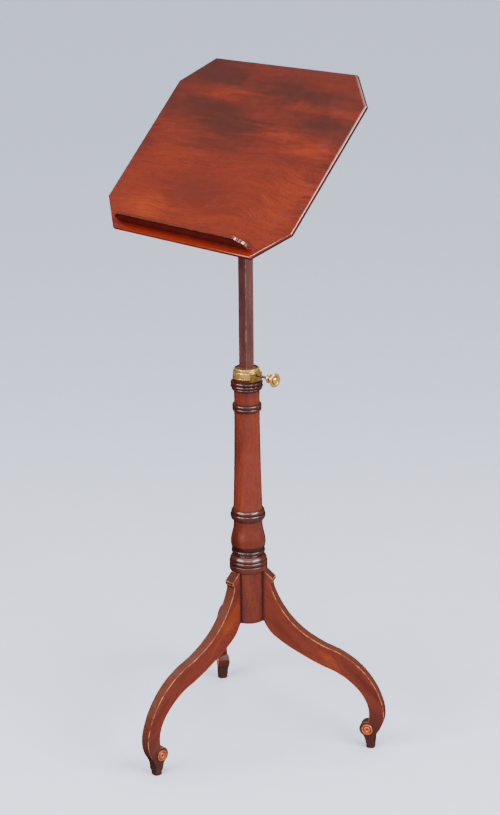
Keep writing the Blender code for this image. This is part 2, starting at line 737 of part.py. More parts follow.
    def build_clamp(self):
        """Turn the thumbscrew and the pad that it presses on the pole."""
        place = (self.parts, self.clamp)
        pad = [(0.0, PAD_BACK), (PAD_RADIUS - PAD_CHAMFER, PAD_BACK),
               (PAD_RADIUS, PAD_BACK - PAD_CHAMFER), (PAD_RADIUS, PAD_FACE), (0.0, PAD_FACE)]
        turned("pressure_pad", pad, THREAD_STEPS, place, self.finish["old_brass"])
        turned("thumbscrew", thumbscrew_profile(), THREAD_STEPS, place, self.finish["old_brass"])

    def build_pole(self):
        """Plane the pole, with a round head and the cross bolt's hole."""
        rise = PIVOT_HEIGHT - POLE_FOOT
        outline = arc((0.0, rise), POLE_HALF, 0.0, 180.0, HEAD_STEPS)
        outline += [(-POLE_HALF, 0.0), (POLE_HALF, 0.0)]
        mesh = outline_mesh("pole", outline, POLE_SIDE)
        face_sideways(mesh)
        pole = add_piece("pole", mesh, (self.parts, self.axis), self.finish["dark_mahogany"],
                         (0, 0, POLE_FOOT))
        round_edges(pole, POLE_CHAMFER)
        return pole

    def build_board(self):
        """Cut the board's canted outline and work its moulded edge."""
        half_width = BOARD_WIDTH / 2
        half_depth = BOARD_DEPTH / 2
        inner_width = half_width - BOARD_CANT
        inner_depth = half_depth - BOARD_CANT
        outline = [(inner_width, -half_depth), (half_width, -inner_depth),
                   (half_width, inner_depth), (inner_width, half_depth),
                   (-inner_width, half_depth), (-half_width, inner_depth),
                   (-half_width, -inner_depth), (-inner_width, -half_depth)]
        mesh = bpy.data.meshes.new("board")
        work = bmesh.new()
        level = PIVOT_DEPTH - BOARD_EDGE_DEPTH
        face = work.faces.new([work.verts.new((x, y, level)) for x, y in outline])
        under = bmesh.ops.extrude_face_region(work, geom=[face])["geom"]
        drop = BOARD_THICKNESS - BOARD_EDGE_DEPTH - BOARD_UNDER_CHAMFER
        corners = [item for item in under if isinstance(item, bmesh.types.BMVert)]
        bmesh.ops.translate(work, verts=corners, vec=(0, 0, -drop))
        bmesh.ops.recalc_face_normals(work, faces=work.faces)
        top = max(work.faces, key=lambda item: item.calc_center_median().z)
        bottom = min(work.faces, key=lambda item: item.calc_center_median().z)
        for inset, rise in BOARD_EDGE_SHARES:
            bmesh.ops.inset_region(work, faces=[top], thickness=inset * BOARD_EDGE_DEPTH,
                                   depth=rise * BOARD_EDGE_DEPTH, use_even_offset=True)
        bmesh.ops.inset_region(work, faces=[bottom], thickness=BOARD_UNDER_CHAMFER,
                               depth=BOARD_UNDER_CHAMFER, use_even_offset=True)
        work.to_mesh(mesh)
        work.free()
        return add_piece("board", mesh, (self.parts, self.pivot),
                         self.finish["polished_mahogany"])

    def build_ledge(self, board):
        """Saw out the book ledge and screw it on from the board's back."""
        flat = LEDGE_LENGTH / 2 - LEDGE_END_RUN
        right = [(flat + run * LEDGE_END_RUN, up * LEDGE_HEIGHT) for run, up in LEDGE_END_SHARES]
        left = [(-across, up) for across, up in reversed(right)]
        mesh = outline_mesh("ledge", right + left, LEDGE_THICKNESS)
        stand_up(mesh)
        ledge = add_piece("ledge", mesh, (self.parts, self.pivot),
                          self.finish["polished_mahogany"], (0, LEDGE_PLACE, LEDGE_FOOT))
        round_edges(ledge, LEDGE_ARRIS, LEDGE_ARRIS_ANGLE_DEG)
        screw = wood_screw_mesh(LEDGE_SCREW_LENGTH, (self.cutters, None))
        for index, across in enumerate(LEDGE_SCREW_PLACES, 1):
            self.add_screw(f"ledge_screw_{index}", screw, LEDGE_SCREW_LENGTH, self.pivot,
                           (across, LEDGE_PLACE, BOARD_UNDERSIDE), (board, ledge))

    def build_bearers(self, board):
        """Shape the two bearers and screw them to the board's back."""
        mesh = outline_mesh("bearer", bearer_outline(), BEARER_WIDTH)
        face_sideways(mesh)
        screw = wood_screw_mesh(BEARER_SCREW_LENGTH, (self.cutters, None))
        middle = (BEARER_INNER + BEARER_OUTER) / 2
        bearers = []
        for name, sign in (("left", -1), ("right", 1)):
            bearer = add_piece("bearer_" + name, mesh, (self.parts, self.pivot),
                               self.finish["dark_mahogany"], (sign * middle, 0, 0))
            round_edges(bearer, BEARER_ARRIS, BEARER_ARRIS_ANGLE_DEG)
            for index, along in enumerate(BEARER_SCREW_PLACES, 1):
                self.add_screw(f"bearer_screw_{name}_{index}", screw, BEARER_SCREW_LENGTH,
                               self.pivot, (sign * middle, along, BEARER_UNDERSIDE),
                               (bearer, board))
            bearers.append(bearer)
        return bearers

    def build_bolt(self, bored):
        """Fit the cross bolt, its washer and the wing nut."""
        place = (self.parts, self.cross)
        seat = BEARER_OUTER + SEAT_GAP
        washer_top = seat + WASHER_THICKNESS
        nut_foot = washer_top + SEAT_GAP
        end = nut_foot + BOLT_NUT_END
        bolt = [(0.0, end), (BOLT_RADIUS - BOLT_CHAMFER, end), (BOLT_RADIUS, end - BOLT_CHAMFER),
                (BOLT_RADIUS, -seat)]
        dome = arc((0.0, 0.0), 1.0, 0.0, -90.0, BOLT_DOME_STEPS)
        bolt += [(across * BOLT_HEAD_RADIUS, up * BOLT_HEAD_HEIGHT - seat)
                 for across, up in dome[:-1]]
        bolt.append((0.0, -seat - BOLT_HEAD_HEIGHT))
        turned("pivot_bolt", bolt, BOLT_STEPS, place, self.finish["steel"])
        bore = cylinder("cut_bolt_bore", BOLT_RADIUS + RUN_GAP, -seat - CUT_OVERRUN,
                        end + CUT_OVERRUN, BOLT_STEPS, (self.cutters, self.cross))
        washer = cylinder("nut_washer", WASHER_RADIUS, seat, washer_top, BOLT_STEPS, place,
                          self.finish["old_brass"])
        cap = nut_foot + NUT_LENGTH
        hub = [(0.0, cap), (NUT_RADIUS - 2 * NUT_CHAMFER, cap),
               (NUT_RADIUS - NUT_CHAMFER, cap - NUT_CHAMFER), (NUT_RADIUS, nut_foot),
               (0.0, nut_foot)]
        nut = turned("wing_nut", hub, BOLT_STEPS, place, self.finish["old_brass"],
                     rotation=(0, 0, math.radians(WING_TURN_DEG)))
        wing = outline_mesh("wing", wing_outline(nut_foot), WING_THICKNESS)
        stand_up(wing)
        for name, turn in (("near", 0.0), ("far", math.pi)):
            blade = add_piece("join_wing_" + name, wing, (self.cutters, nut),
                              rotation=(0, 0, turn))
            cut(nut, blade, 'UNION')
        for piece in (*bored, washer, nut):
            cut(piece, bore)


def roundel_profile():
    """Return a roundel's outline, from its centre out to its flat back."""
    points = [(share * ROUNDEL_RADIUS, up * ROUNDEL_HEIGHT) for share, up in ROUNDEL_SHARES]
    return points + [(ROUNDEL_RADIUS, 0.0), (0.0, 0.0)]


def collar_profile():
    """Return the collar's outline: two bands, a rim and the sleeve below."""
    band_top = COLLAR_TOP - COLLAR_TOP_BAND
    band_foot = COLLAR_FOOT + COLLAR_RIM_HEIGHT
    sleeve_foot = COLLAR_FOOT - SLEEVE_LENGTH
    points = [(0.0, COLLAR_TOP), (COLLAR_TOP_RADIUS - COLLAR_CHAMFER, COLLAR_TOP),
              (COLLAR_TOP_RADIUS, COLLAR_TOP - COLLAR_CHAMFER), (COLLAR_TOP_RADIUS, band_top)]
    for index in range(BEAD_STEPS + 1):
        share = index / BEAD_STEPS
        swell = COLLAR_BAND_SWELL * math.sin(math.pi * share)
        points.append((COLLAR_BAND_RADIUS + swell, band_top + (band_foot - band_top) * share))
    points += [(COLLAR_RIM_RADIUS, band_foot), (COLLAR_RIM_RADIUS, COLLAR_FOOT),
               (SLEEVE_RADIUS, COLLAR_FOOT), (SLEEVE_RADIUS, sleeve_foot), (0.0, sleeve_foot)]
    return points


def thumbscrew_profile():
    """Return the thumbscrew's outline, from the knob's button to the tip."""
    points = [(across * KNOB_RADIUS, KNOB_REACH - along * KNOB_LENGTH)
              for across, along in KNOB_SHARES]
    points += [(THREAD_RADIUS, KNOB_REACH - KNOB_LENGTH), (THREAD_RADIUS, SCREW_TIP),
               (0.0, SCREW_TIP)]
    return points


def bearer_outline():
    """Return a bearer's outline: up the slope, and away from the board."""
    half = BEARER_LENGTH / 2
    shoulder = EAR_RADIUS + EAR_SHOULDER
    ear = arc((0.0, 0.0), EAR_RADIUS, 0.0, -180.0, EAR_STEPS)
    end = [(half, BEARER_TOP), (half, BEARER_TOP - BEARER_END_HEIGHT),
           (half - BEARER_END_RUN, BEARER_UNDERSIDE), (shoulder, BEARER_UNDERSIDE)]
    start = [(-across, up) for across, up in reversed(end)]
    return end + ear + start


def wing_outline(foot):
    """Return one wing of the nut, from inside its hub to the rounded tip."""
    tip_centre = (WING_SPAN - WING_ROUND, foot + NUT_LENGTH + WING_RISE - WING_ROUND)
    tip = arc(tip_centre, WING_ROUND, WING_TIP_START_DEG, WING_TIP_END_DEG, WING_STEPS)
    root_low = foot + 2 * NUT_CHAMFER
    root_high = foot + NUT_LENGTH - 2 * NUT_CHAMFER
    inside = BOLT_RADIUS + RUN_GAP / 2
    return [(inside, root_low), (NUT_RADIUS, root_low), *tip, (NUT_RADIUS, root_high),
            (inside, root_high)]


def main():
    """Build the whole stand."""
    clear_scene()
    stand = Stand()
    column = stand.build_column()
    stand.build_legs()
    stand.build_plate(column)
    stand.build_collar(column)
    stand.build_clamp()
    pole = stand.build_pole()
    board = stand.build_board()
    stand.build_ledge(board)
    bearers = stand.build_bearers(board)
    stand.build_bolt((pole, *bearers))
    bpy.context.view_layer.update()


main()
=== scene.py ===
"""Looks of the reading stand: mahogany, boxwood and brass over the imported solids.

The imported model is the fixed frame. Each class below builds one sub-assembly
in its own frame, dresses it, and hands its pieces to the body they move with.
Metres, +Z up, the front of the stand towards -Y, the thumbscrew towards +X.
"""

from __future__ import annotations

import json
import logging
import math
from dataclasses import dataclass, field
from enum import Enum
from typing import Any, Callable, Iterable, Sequence

import bmesh
import bpy
from mathutils import Matrix, Vector

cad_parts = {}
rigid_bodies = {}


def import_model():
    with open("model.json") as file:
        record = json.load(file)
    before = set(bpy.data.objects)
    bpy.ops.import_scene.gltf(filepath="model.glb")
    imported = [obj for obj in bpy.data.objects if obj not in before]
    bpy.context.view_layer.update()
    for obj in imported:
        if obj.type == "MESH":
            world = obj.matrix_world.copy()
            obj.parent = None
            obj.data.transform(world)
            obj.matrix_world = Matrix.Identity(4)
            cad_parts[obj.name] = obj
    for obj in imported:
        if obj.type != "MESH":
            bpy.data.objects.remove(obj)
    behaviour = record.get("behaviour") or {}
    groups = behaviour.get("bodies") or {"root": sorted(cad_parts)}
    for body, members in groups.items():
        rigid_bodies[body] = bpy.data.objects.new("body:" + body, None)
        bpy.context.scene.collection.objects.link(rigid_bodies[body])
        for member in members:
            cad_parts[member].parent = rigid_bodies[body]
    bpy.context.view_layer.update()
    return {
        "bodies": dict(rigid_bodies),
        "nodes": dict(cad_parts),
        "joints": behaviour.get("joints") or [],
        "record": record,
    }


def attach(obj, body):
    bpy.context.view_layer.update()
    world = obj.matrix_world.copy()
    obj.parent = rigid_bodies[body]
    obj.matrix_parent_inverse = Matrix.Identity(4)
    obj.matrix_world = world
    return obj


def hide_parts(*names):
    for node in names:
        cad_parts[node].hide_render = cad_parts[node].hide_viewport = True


LOG = logging.getLogger("reading_stand")
MM = 0.001

Point = tuple[float, float]
Triple = tuple[float, float, float]
Material = bpy.types.Material
Mesh = bpy.types.Mesh
Socket = bpy.types.NodeSocket

# Where the column's axis, the thumbscrew and the board's pivot stand, as in the solids
AXIS_Y = 0.0600779
CLAMP_Z = 0.6962
PIVOT_Z = 1.0575
TILT = math.radians(46.9)

# Turns that lay Z along +X, and X along +Y
Z_TO_X = Matrix.Rotation(math.pi / 2, 4, 'Y')
X_TO_Y = Matrix.Rotation(math.pi / 2, 4, 'Z')

# The column's axis on the floor; the thumbscrew, its Z along +X; the board at its pivot,
# X across, Y up the slope, Z off the board; the cross bolt, its Z along +X
AXIS_FRAME = Matrix.Translation((0, AXIS_Y, 0))
CLAMP_FRAME = Matrix.Translation((0, AXIS_Y, CLAMP_Z)) @ Z_TO_X
BOARD_FRAME = Matrix.Translation((0, AXIS_Y, PIVOT_Z)) @ Matrix.Rotation(TILT, 4, 'X')
BOLT_FRAME = BOARD_FRAME @ Z_TO_X

# The Mix node's sockets for colours, which share their names
MIX_FACTOR, MIX_A, MIX_B, MIX_RESULT = 0, 6, 7, 2

# The Vector Math operations that give a value
MEASURES = ('DISTANCE', 'DOT_PRODUCT', 'LENGTH')

# Edges sharper than these stay crisp: those of flat work, and those of turned work
CRISP = math.radians(42)
CRISP_TURNED = math.radians(40)

# Two points of an outline closer than this are one
SAME_POINT = 0.00002

# Half of the width of a thread's ridge, as a share of its pitch
RIDGE = 0.36


class Body(Enum):
    """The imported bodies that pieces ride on."""

    STAND = "stand"
    POLE = "pole"
    BOARD = "board"
    THUMBSCREW = "thumbscrew"
    WASHER = "washer"
    WING_NUT = "wing_nut"


class Slot(Enum):
    """The record's material slots."""

    POLISHED = "polished_mahogany"
    TURNED = "turned_mahogany"
    DARK = "dark_mahogany"
    BOXWOOD = "boxwood"
    BRASS = "old_brass"
    IRON = "iron"
    STEEL = "steel"


class Figure(Enum):
    """How a mahogany piece's figure is drawn."""

    PLAIN = "plain"
    CLOUDED = "clouded"


@dataclass(frozen=True)
class Cloud:
    """A soft patch in a plank's figure: middle, half sizes and tone.

    Millimetres along the grain and across it. A tone above zero glows, one
    below zero is dark.
    """

    along: float
    across: float
    long: float
    wide: float
    tone: float


BOARD_CLOUDS = tuple(Cloud(*row) for row in (
    (-150, 153, 115, 52, -0.30), (-110, 78, 160, 50, -0.30), (-20, 46, 125, 44, -0.34),
    (40, 132, 105, 44, -0.28), (130, 124, 105, 28, -0.26), (150, 78, 105, 36, -0.36),
    (-75, -76, 105, 60, -0.09), (5, -92, 140, 50, -0.20), (130, 4, 85, 15, -0.12),
    (-98, 111, 80, 22, 0.34), (84, 110, 50, 19, 0.26), (80, 50, 85, 17, 0.20),
    (190, 25, 90, 28, 0.34), (-205, 25, 85, 42, 0.10), (-120, -15, 115, 42, 0.11),
    (-118, -134, 85, 44, 0.34), (195, -48, 75, 62, 0.26), (180, -100, 85, 50, 0.12),
    # The cloud at 0, -176 paints the strip in front of the ledge a deeper glow, standing for the
    # room's reflection that the ledge keeps off it
    (0, -176, 230, 14, 0.30), (-40, 6, 130, 24, -0.22), (-80, 142, 65, 28, -0.20),
    (60, 98, 65, 22, -0.16), (192, 98, 75, 19, 0.26), (262, -30, 120, 260, -0.30),
    (-236, 40, 60, 190, -0.26)))


def linear(code: str) -> tuple[float, float, float, float]:
    """Turn an sRGB hex colour to linear light.

    Args:
        code: Six hex digits.

    Returns:
        Red, green, blue and an alpha of one.
    """
    channels = []
    for start in (0, 2, 4):
        value = int(code[start:start + 2], 16) / 255
        channels.append(value / 12.92 if value <= 0.04045 else ((value + 0.055) / 1.055) ** 2.4)
    return (channels[0], channels[1], channels[2], 1.0)


class Graph:
    """A node tree, with short calls for the nodes that it needs most."""

    def __init__(self, tree: bpy.types.NodeTree) -> None:
        """Work on a tree."""
        self.tree = tree

    def add_node(self, kind: str, feeds: dict[str | int, Any] | None = None,
                 **settings: Any) -> bpy.types.Node:
        """Add a node with its settings, values and links.

        Args:
            kind: The node's type name.
            feeds: Input name or index, and the value or the output socket that fills it.
            **settings: The node's own properties.

        Returns:
            The new node.
        """
        node = self.tree.nodes.new(kind)
        for key, value in settings.items():
            setattr(node, key, value)
        self.fill(node, feeds or {})
        return node

    def fill(self, node: bpy.types.Node, feeds: dict[str | int, Any]) -> None:
        """Give a node's inputs their values or links.

        Args:
            node: The node.
            feeds: Input name or index, and the value or the output socket that fills it.
        """
        for key, value in feeds.items():
            if isinstance(value, Socket):
                self.tree.links.new(value, node.inputs[key])
            else:
                node.inputs[key].default_value = value

    def place(self) -> Socket:
        """Return the place in the object's frame, which is the stand's."""
        return self.add_node("ShaderNodeTexCoord").outputs["Object"]

    def attribute(self, name: str, output: str = "Fac") -> Socket:
        """Return an attribute of the mesh."""
        return self.add_node("ShaderNodeAttribute", attribute_name=name).outputs[output]

    def axis(self, place: Socket, name: str) -> Socket:
        """Return a place's X, Y or Z."""
        return self.add_node("ShaderNodeSeparateXYZ", {0: place}).outputs[name]

    def point(self, feeds: dict[int, Socket]) -> Socket:
        """Return a place from its coordinates, zero where none is given."""
        return self.add_node("ShaderNodeCombineXYZ", feeds).outputs[0]

    def mapped(self, place: Socket, scale: Triple, shift: Triple = (0.0, 0.0, 0.0),
               turn: Triple = (0.0, 0.0, 0.0)) -> Socket:
        """Return a place scaled, turned and then shifted."""
        return self.add_node("ShaderNodeMapping", {
            0: place, "Location": shift, "Rotation": turn, "Scale": scale}).outputs[0]

    def noise(self, place: Socket, scale: float, detail: float, roughness: float = 0.5,
              output: str = "Fac") -> Socket:
        """Return a noise, its cells one over the scale wide."""
        return self.add_node("ShaderNodeTexNoise", {
            "Vector": place, "Scale": scale, "Detail": detail,
            "Roughness": roughness}).outputs[output]

    def span(self, value: Socket, low: float, high: float, start: Any, end: Any,
             smooth: bool = False) -> Socket:
        """Carry a value's range from low and high to start and end, straight or eased."""
        return self.add_node("ShaderNodeMapRange", {
            0: value, 1: low, 2: high, 3: start, 4: end},
            interpolation_type='SMOOTHSTEP' if smooth else 'LINEAR').outputs[0]

    def maths(self, operation: str, *values: Any) -> Socket:
        """Return the result of a Math node."""
        return self.add_node("ShaderNodeMath", dict(enumerate(values)),
                             operation=operation).outputs[0]

    def vector(self, operation: str, *values: Any) -> Socket:
        """Return the result of a Vector Math node, a value for what measures."""
        node = self.add_node("ShaderNodeVectorMath", dict(enumerate(values)), operation=operation)
        return node.outputs["Value" if operation in MEASURES else "Vector"]

    def swayed(self, place: Socket, colour: Socket, reach: Triple) -> Socket:
        """Return a place moved by a noise's colour, half of the reach each way."""
        return self.vector('MULTIPLY_ADD', self.vector('SUBTRACT', colour, (0.5, 0.5, 0.5)),
                           reach, place)

    def mix(self, share: Socket, first: Socket | str, second: Socket | str) -> Socket:
        """Mix two colours.

        Args:
            share: How much of the second there is, from 0 to 1.
            first: A colour's socket or its sRGB hex code.
            second: The same for the other.

        Returns:
            The mixed colour.
        """
        one, two = (linear(colour) if isinstance(colour, str) else colour
                    for colour in (first, second))
        return self.add_node("ShaderNodeMix", {MIX_FACTOR: share, MIX_A: one, MIX_B: two},
                             data_type='RGBA').outputs[MIX_RESULT]

    def ramp(self, value: Socket, *stops: tuple[float, str]) -> Socket:
        """Colour a value by stops.

        Args:
            value: The value.
            *stops: Place from 0 to 1 and sRGB hex code of each, in order.

        Returns:
            The colour.
        """
        node = self.add_node("ShaderNodeValToRGB", {0: value})
        elements = node.color_ramp.elements
        while len(elements) < len(stops):
            elements.new(1.0)
        for element, (place, code) in zip(elements, stops):
            element.position = place
            element.color = linear(code)
        return node.outputs[0]

    def bump(self, height: Socket, strength: float, depth_mm: float,
             invert: bool = False) -> Socket:
        """Return a normal that follows a height."""
        return self.add_node("ShaderNodeBump", {
            "Height": height, "Strength": strength, "Distance": depth_mm * MM},
            invert=invert).outputs[0]


@dataclass(frozen=True)
class Finish:
    """A finish, which names its material and says what fills its shader."""

    name: str

    def build(self) -> Material:
        """Make the material."""
        material = bpy.data.materials.new(self.name)
        material.use_nodes = True
        graph = Graph(material.node_tree)
        graph.fill(material.node_tree.nodes["Principled BSDF"], self.draw(graph))
        return material

    def draw(self, graph: Graph) -> dict[str | int, Any]:
        """Draw the finish in a graph and return what fills the Principled shader."""
        raise NotImplementedError


@dataclass(frozen=True)
class Mahogany(Finish):
    """Mahogany stained, french polished and aged.

    Shellac over stained timber: warm red-brown that shifts between dark
    ribbons and orange patches, fine dark pores along the grain, a soft gloss
    that is worn through to paler wood on the arrises, and dirt and painted
    shade in the hollows.
    The plank attribute gives each point's place in the timber, X with the grain.
    """

    ground: str
    deep: str
    glow: str
    worn: str
    figure: Figure = Figure.PLAIN
    roughness: float = 0.27
    coat: float = 0.3
    wear: float = 0.8
    ribbon_mm: Point = (150.0, 26.0)
    streak_mm: Point = (110.0, 2.8)
    streaking: float = 0.55
    streak_detail: float = 5.0
    pore_mm: Point = (9.0, 0.8)
    pore_depth_mm: float = 0.05
    dirt: str = "200b08"
    shaded: str = "240c08"
    seamed: bool = False
    dulled: float = 0.0
    specular: float = 0.5

    def draw(self, graph: Graph) -> dict[str | int, Any]:
        """Draw the figure, its streaks and pores, and the age over them.

        Args:
            graph: The material's graph.

        Returns:
            What fills the shader.
        """
        timber = graph.mapped(graph.attribute("plank", "Vector"), (1000.0, 1000.0, 1000.0))
        warp = graph.noise(graph.mapped(timber, (0.3, 1.0, 1.0)), 1 / 55, 2.0, output="Color")
        bent = graph.swayed(timber, warp, (30.0, 30.0, 30.0))
        if self.figure is Figure.CLOUDED:
            colour, grain = self._clouded(graph, timber, bent)
        else:
            colour, grain = self._plain(graph, bent)
        streaks = self._along(graph, grain, self.streak_mm, self.streak_detail, 0.62)
        streaked = graph.mix(graph.span(streaks, 0.42, 0.72, 0.0, self.streaking), colour,
                             self.deep)
        pores = graph.span(self._along(graph, grain, self.pore_mm, 2.0), 0.58, 0.70, 0.0, 0.5)
        sheen = graph.noise(timber, 1 / 18, 4.0)
        coat: Any = self.coat
        if self.dulled:
            # Where shade is painted, the coat is thinned too, so those faces mirror less and stay
            # dark
            coat = graph.span(graph.attribute("shade"), 0.0, 1.0, self.coat,
                              self.coat * (1 - self.dulled))
        return {"Base Color": self._aged(graph, graph.mix(pores, streaked, self.dirt)),
                "Roughness": graph.span(sheen, 0.3, 0.7, self.roughness - 0.05,
                                        self.roughness + 0.07),
                "Normal": graph.bump(pores, 0.35, self.pore_depth_mm, invert=True),
                "IOR": 1.46, "Specular IOR Level": self.specular, "Coat Weight": coat,
                "Coat Roughness": 0.08}

    @staticmethod
    def _along(graph: Graph, place: Socket, size_mm: Point, detail: float,
               roughness: float = 0.5, shift: Triple = (0.0, 0.0, 0.0),
               output: str = "Fac") -> Socket:
        """Return a noise whose cells have a length and a width along the grain."""
        long, wide = 1 / size_mm[0], 1 / size_mm[1]
        return graph.noise(graph.mapped(place, (long, wide, wide), shift), 1.0, detail,
                           roughness, output)

    def _plain(self, graph: Graph, bent: Socket) -> tuple[Socket, Socket]:
        """Draw soft ribbons of deep and glowing wood along the grain.

        Args:
            graph: The material's graph.
            bent: The warped place in the timber.

        Returns:
            The colour, and the place that the finer grain follows.
        """
        ribbon = self._along(graph, bent, self.ribbon_mm, 3.0)
        return graph.ramp(ribbon, (0.30, self.deep), (0.47, self.ground), (0.58, self.ground),
                          (0.72, self.glow)), bent

    def _clouded(self, graph: Graph, timber: Socket, bent: Socket) -> tuple[Socket, Socket]:
        """Draw the board's figure: dark and glowing clouds, and a swirl low on the right.

        Args:
            graph: The material's graph.
            timber: The place in the timber in millimetres.
            bent: The same, warped.

        Returns:
            The colour, and the place that the finer grain follows.
        """
        # The grain lifts over a knot's swirl, 85 mm right and 75 mm below the middle
        reach = graph.vector('DISTANCE', timber, (85.0, -75.0, 40.0))
        lift = graph.span(reach, 8.0, 115.0, 26.0, 0.0, smooth=True)
        grain = graph.vector('SUBTRACT', bent, graph.point({1: lift}))
        # Clouds fray into each other along the grain
        fray = self._along(graph, grain, (90.0, 9.0), 6.0, 0.68, output="Color")
        frayed = graph.swayed(timber, fray, (260.0, 26.0, 0.0))
        # The timber is darker towards its upper edge
        across = graph.axis(timber, "Y")
        tone = graph.span(across, -120.0, 150.0, 0.57, 0.33)
        for cloud in BOARD_CLOUDS:
            local = graph.mapped(frayed, (1 / cloud.long, 1 / cloud.wide, 0.0),
                                 (-cloud.along / cloud.long, -cloud.across / cloud.wide, 0.0))
            tone = graph.maths('ADD', tone, graph.span(
                graph.vector('LENGTH', local), 0.0, 1.0, cloud.tone, 0.0, smooth=True))
        mottle = self._along(graph, grain, (90.0, 8.0), 4.0, 0.6, (3.1, 1.7, 0.4))
        tone = graph.maths('ADD', tone, graph.span(mottle, 0.25, 0.75, -0.09, 0.09))
        colour = graph.ramp(tone, (0.1, self.deep), (0.5, self.ground), (0.9, self.glow))
        # In front of the ledge the strip is painted a deeper red, painted shade where the ledge
        # keeps the room's reflection off it, and a dark band at its foot is the ledge's painted
        # reflection
        kept = graph.span(across, -160.0, -168.0, 0.0, 0.6)
        beside = graph.span(across, -171.0, -175.0, 1.3, 0.0)
        return graph.mix(graph.maths('MULTIPLY', beside, kept),
                         graph.mix(kept, colour, "700f04"), "480200"), grain

    def _aged(self, graph: Graph, colour: Socket) -> Socket:
        """Paint dirt and shade dark, darken towards the floor, and wear the arrises through the
        stain.

        Args:
            graph: The material's graph.
            colour: The wood's colour.

        Returns:
            The aged colour.
        """
        place = graph.place()
        height = graph.axis(place, "Z")
        # Dark where the shade attribute paints dirt and painted shade, and darker towards the
        # floor below 110 mm
        dark = graph.maths('MAXIMUM', graph.attribute("shade"),
                           graph.span(height, 0.016, 0.110, 0.85, 0.0, smooth=True))
        if self.seamed:
            # Painted shade: the outer and upper faces are painted a darker brown, for how the
            # light falls on them
            colour = graph.mix(graph.maths('MULTIPLY', graph.attribute("outer_shade"), 0.75),
                               colour, "4c2618")
            # Painted shade and dirt in the last 3 mm before the block, where the leg meets it
            reach = graph.vector('LENGTH', graph.mapped(place, (1.0, 1.0, 0.0),
                                                        (0.0, -AXIS_Y, 0.0)))
            dark = graph.maths('MAXIMUM', dark, graph.span(reach, 0.0325, 0.0355, 0.95, 0.0,
                                                           smooth=True))
        # Wear comes in runs of about 14 mm, broken by chips of 1 mm
        chips = graph.span(graph.noise(place, 1000 / 14, 6.0, 0.7), 0.44, 0.58, 0.05, 1.0)
        bare = graph.maths('MULTIPLY', graph.attribute("arris"), chips)
        # The wear fades out low down, on the darkened feet
        clean = graph.span(height, 0.030, 0.070, 0.0, self.wear)
        return graph.mix(graph.maths('MULTIPLY', bare, clean),
                         graph.mix(dark, colour, self.shaded), self.worn)


@dataclass(frozen=True)
class Boxwood(Finish):
    """Boxwood, turned and polished.

    A dense pale timber gone orange under old polish, with rings so fine that
    it looks even, and old waxing and painted shade dark in the turned grooves,
    the centre and round the rim.
    """

    ground: str = "a84e1c"
    deep: str = "7e3410"
    wax_and_shade: str = "3c1408"
    cell_mm: float = 2.5

    def draw(self, graph: Graph) -> dict[str | int, Any]:
        """Draw the fine rings, and the dark of the waxing and painted shade.

        Args:
            graph: The material's graph.

        Returns:
            What fills the shader.
        """
        rings = graph.noise(graph.place(), 1000 / self.cell_mm, 4.0)
        colour = graph.ramp(rings, (0.3, self.deep), (0.62, self.ground))
        return {"Base Color": graph.mix(graph.attribute("shade"), colour, self.wax_and_shade),
                "Normal": graph.bump(rings, 0.2, 0.03), "Roughness": 0.3, "Coat Weight": 0.25}


@dataclass(frozen=True)
class Metal(Finish):
    """A metal with a bright ground, a tarnish in soft patches and fine scratches.

    Tarnish dulls and darkens the metal where hands don't rub it, and the
    hollows are painted darker for tarnish and shade; the grit of old polish
    leaves fine scratches.
    """

    bright: str
    tarnish: str
    hollow: str
    roughness: float
    tarnished: float
    metallic: float = 0.85
    patch_mm: float = 9.0
    scratch_mm: float = 0.7

    def draw(self, graph: Graph) -> dict[str | int, Any]:
        """Draw the tarnish and the scratches.

        Args:
            graph: The material's graph.

        Returns:
            What fills the shader.
        """
        place = graph.place()
        share = graph.span(graph.noise(place, 1000 / self.patch_mm, 7.0, 0.65), 0.42, 0.68,
                           0.0, self.tarnished)
        dulled = graph.mix(share, self.bright, self.tarnish)
        # Real scratches are finer than the render shows; these are 0.7 mm apart
        scratches = graph.noise(graph.mapped(place, (1.0, 6.0, 1.0), turn=(0.4, 0.9, 0.3)),
                                160 / self.scratch_mm, 3.0)
        # The tarnish is a skin of oxide, which scatters more than it mirrors
        skin = graph.span(share, 0.0, 1.0, self.metallic, self.metallic - 0.25)
        # The shade attribute paints the hollows dark, for tarnish and painted shade
        return {"Base Color": graph.mix(graph.attribute("shade"), dulled, self.hollow),
                "Roughness": graph.span(share, 0.0, 1.0, self.roughness, self.roughness + 0.22),
                "Normal": graph.bump(scratches, 0.12, 0.04), "Metallic": skin}


@dataclass(frozen=True)
class Backdrop(Finish):
    """Matt pale backdrop cloth, with a faint mottle."""

    ground: str = "c8cddb"
    mottle: str = "bec4d3"
    mottle_mm: float = 60.0

    def draw(self, graph: Graph) -> dict[str | int, Any]:
        """Draw the mottle."""
        noise = graph.noise(graph.place(), 1000 / self.mottle_mm, 6.0, 0.7)
        return {"Base Color": graph.mix(noise, self.ground, self.mottle), "Roughness": 0.9,
                "Specular IOR Level": 0.15}


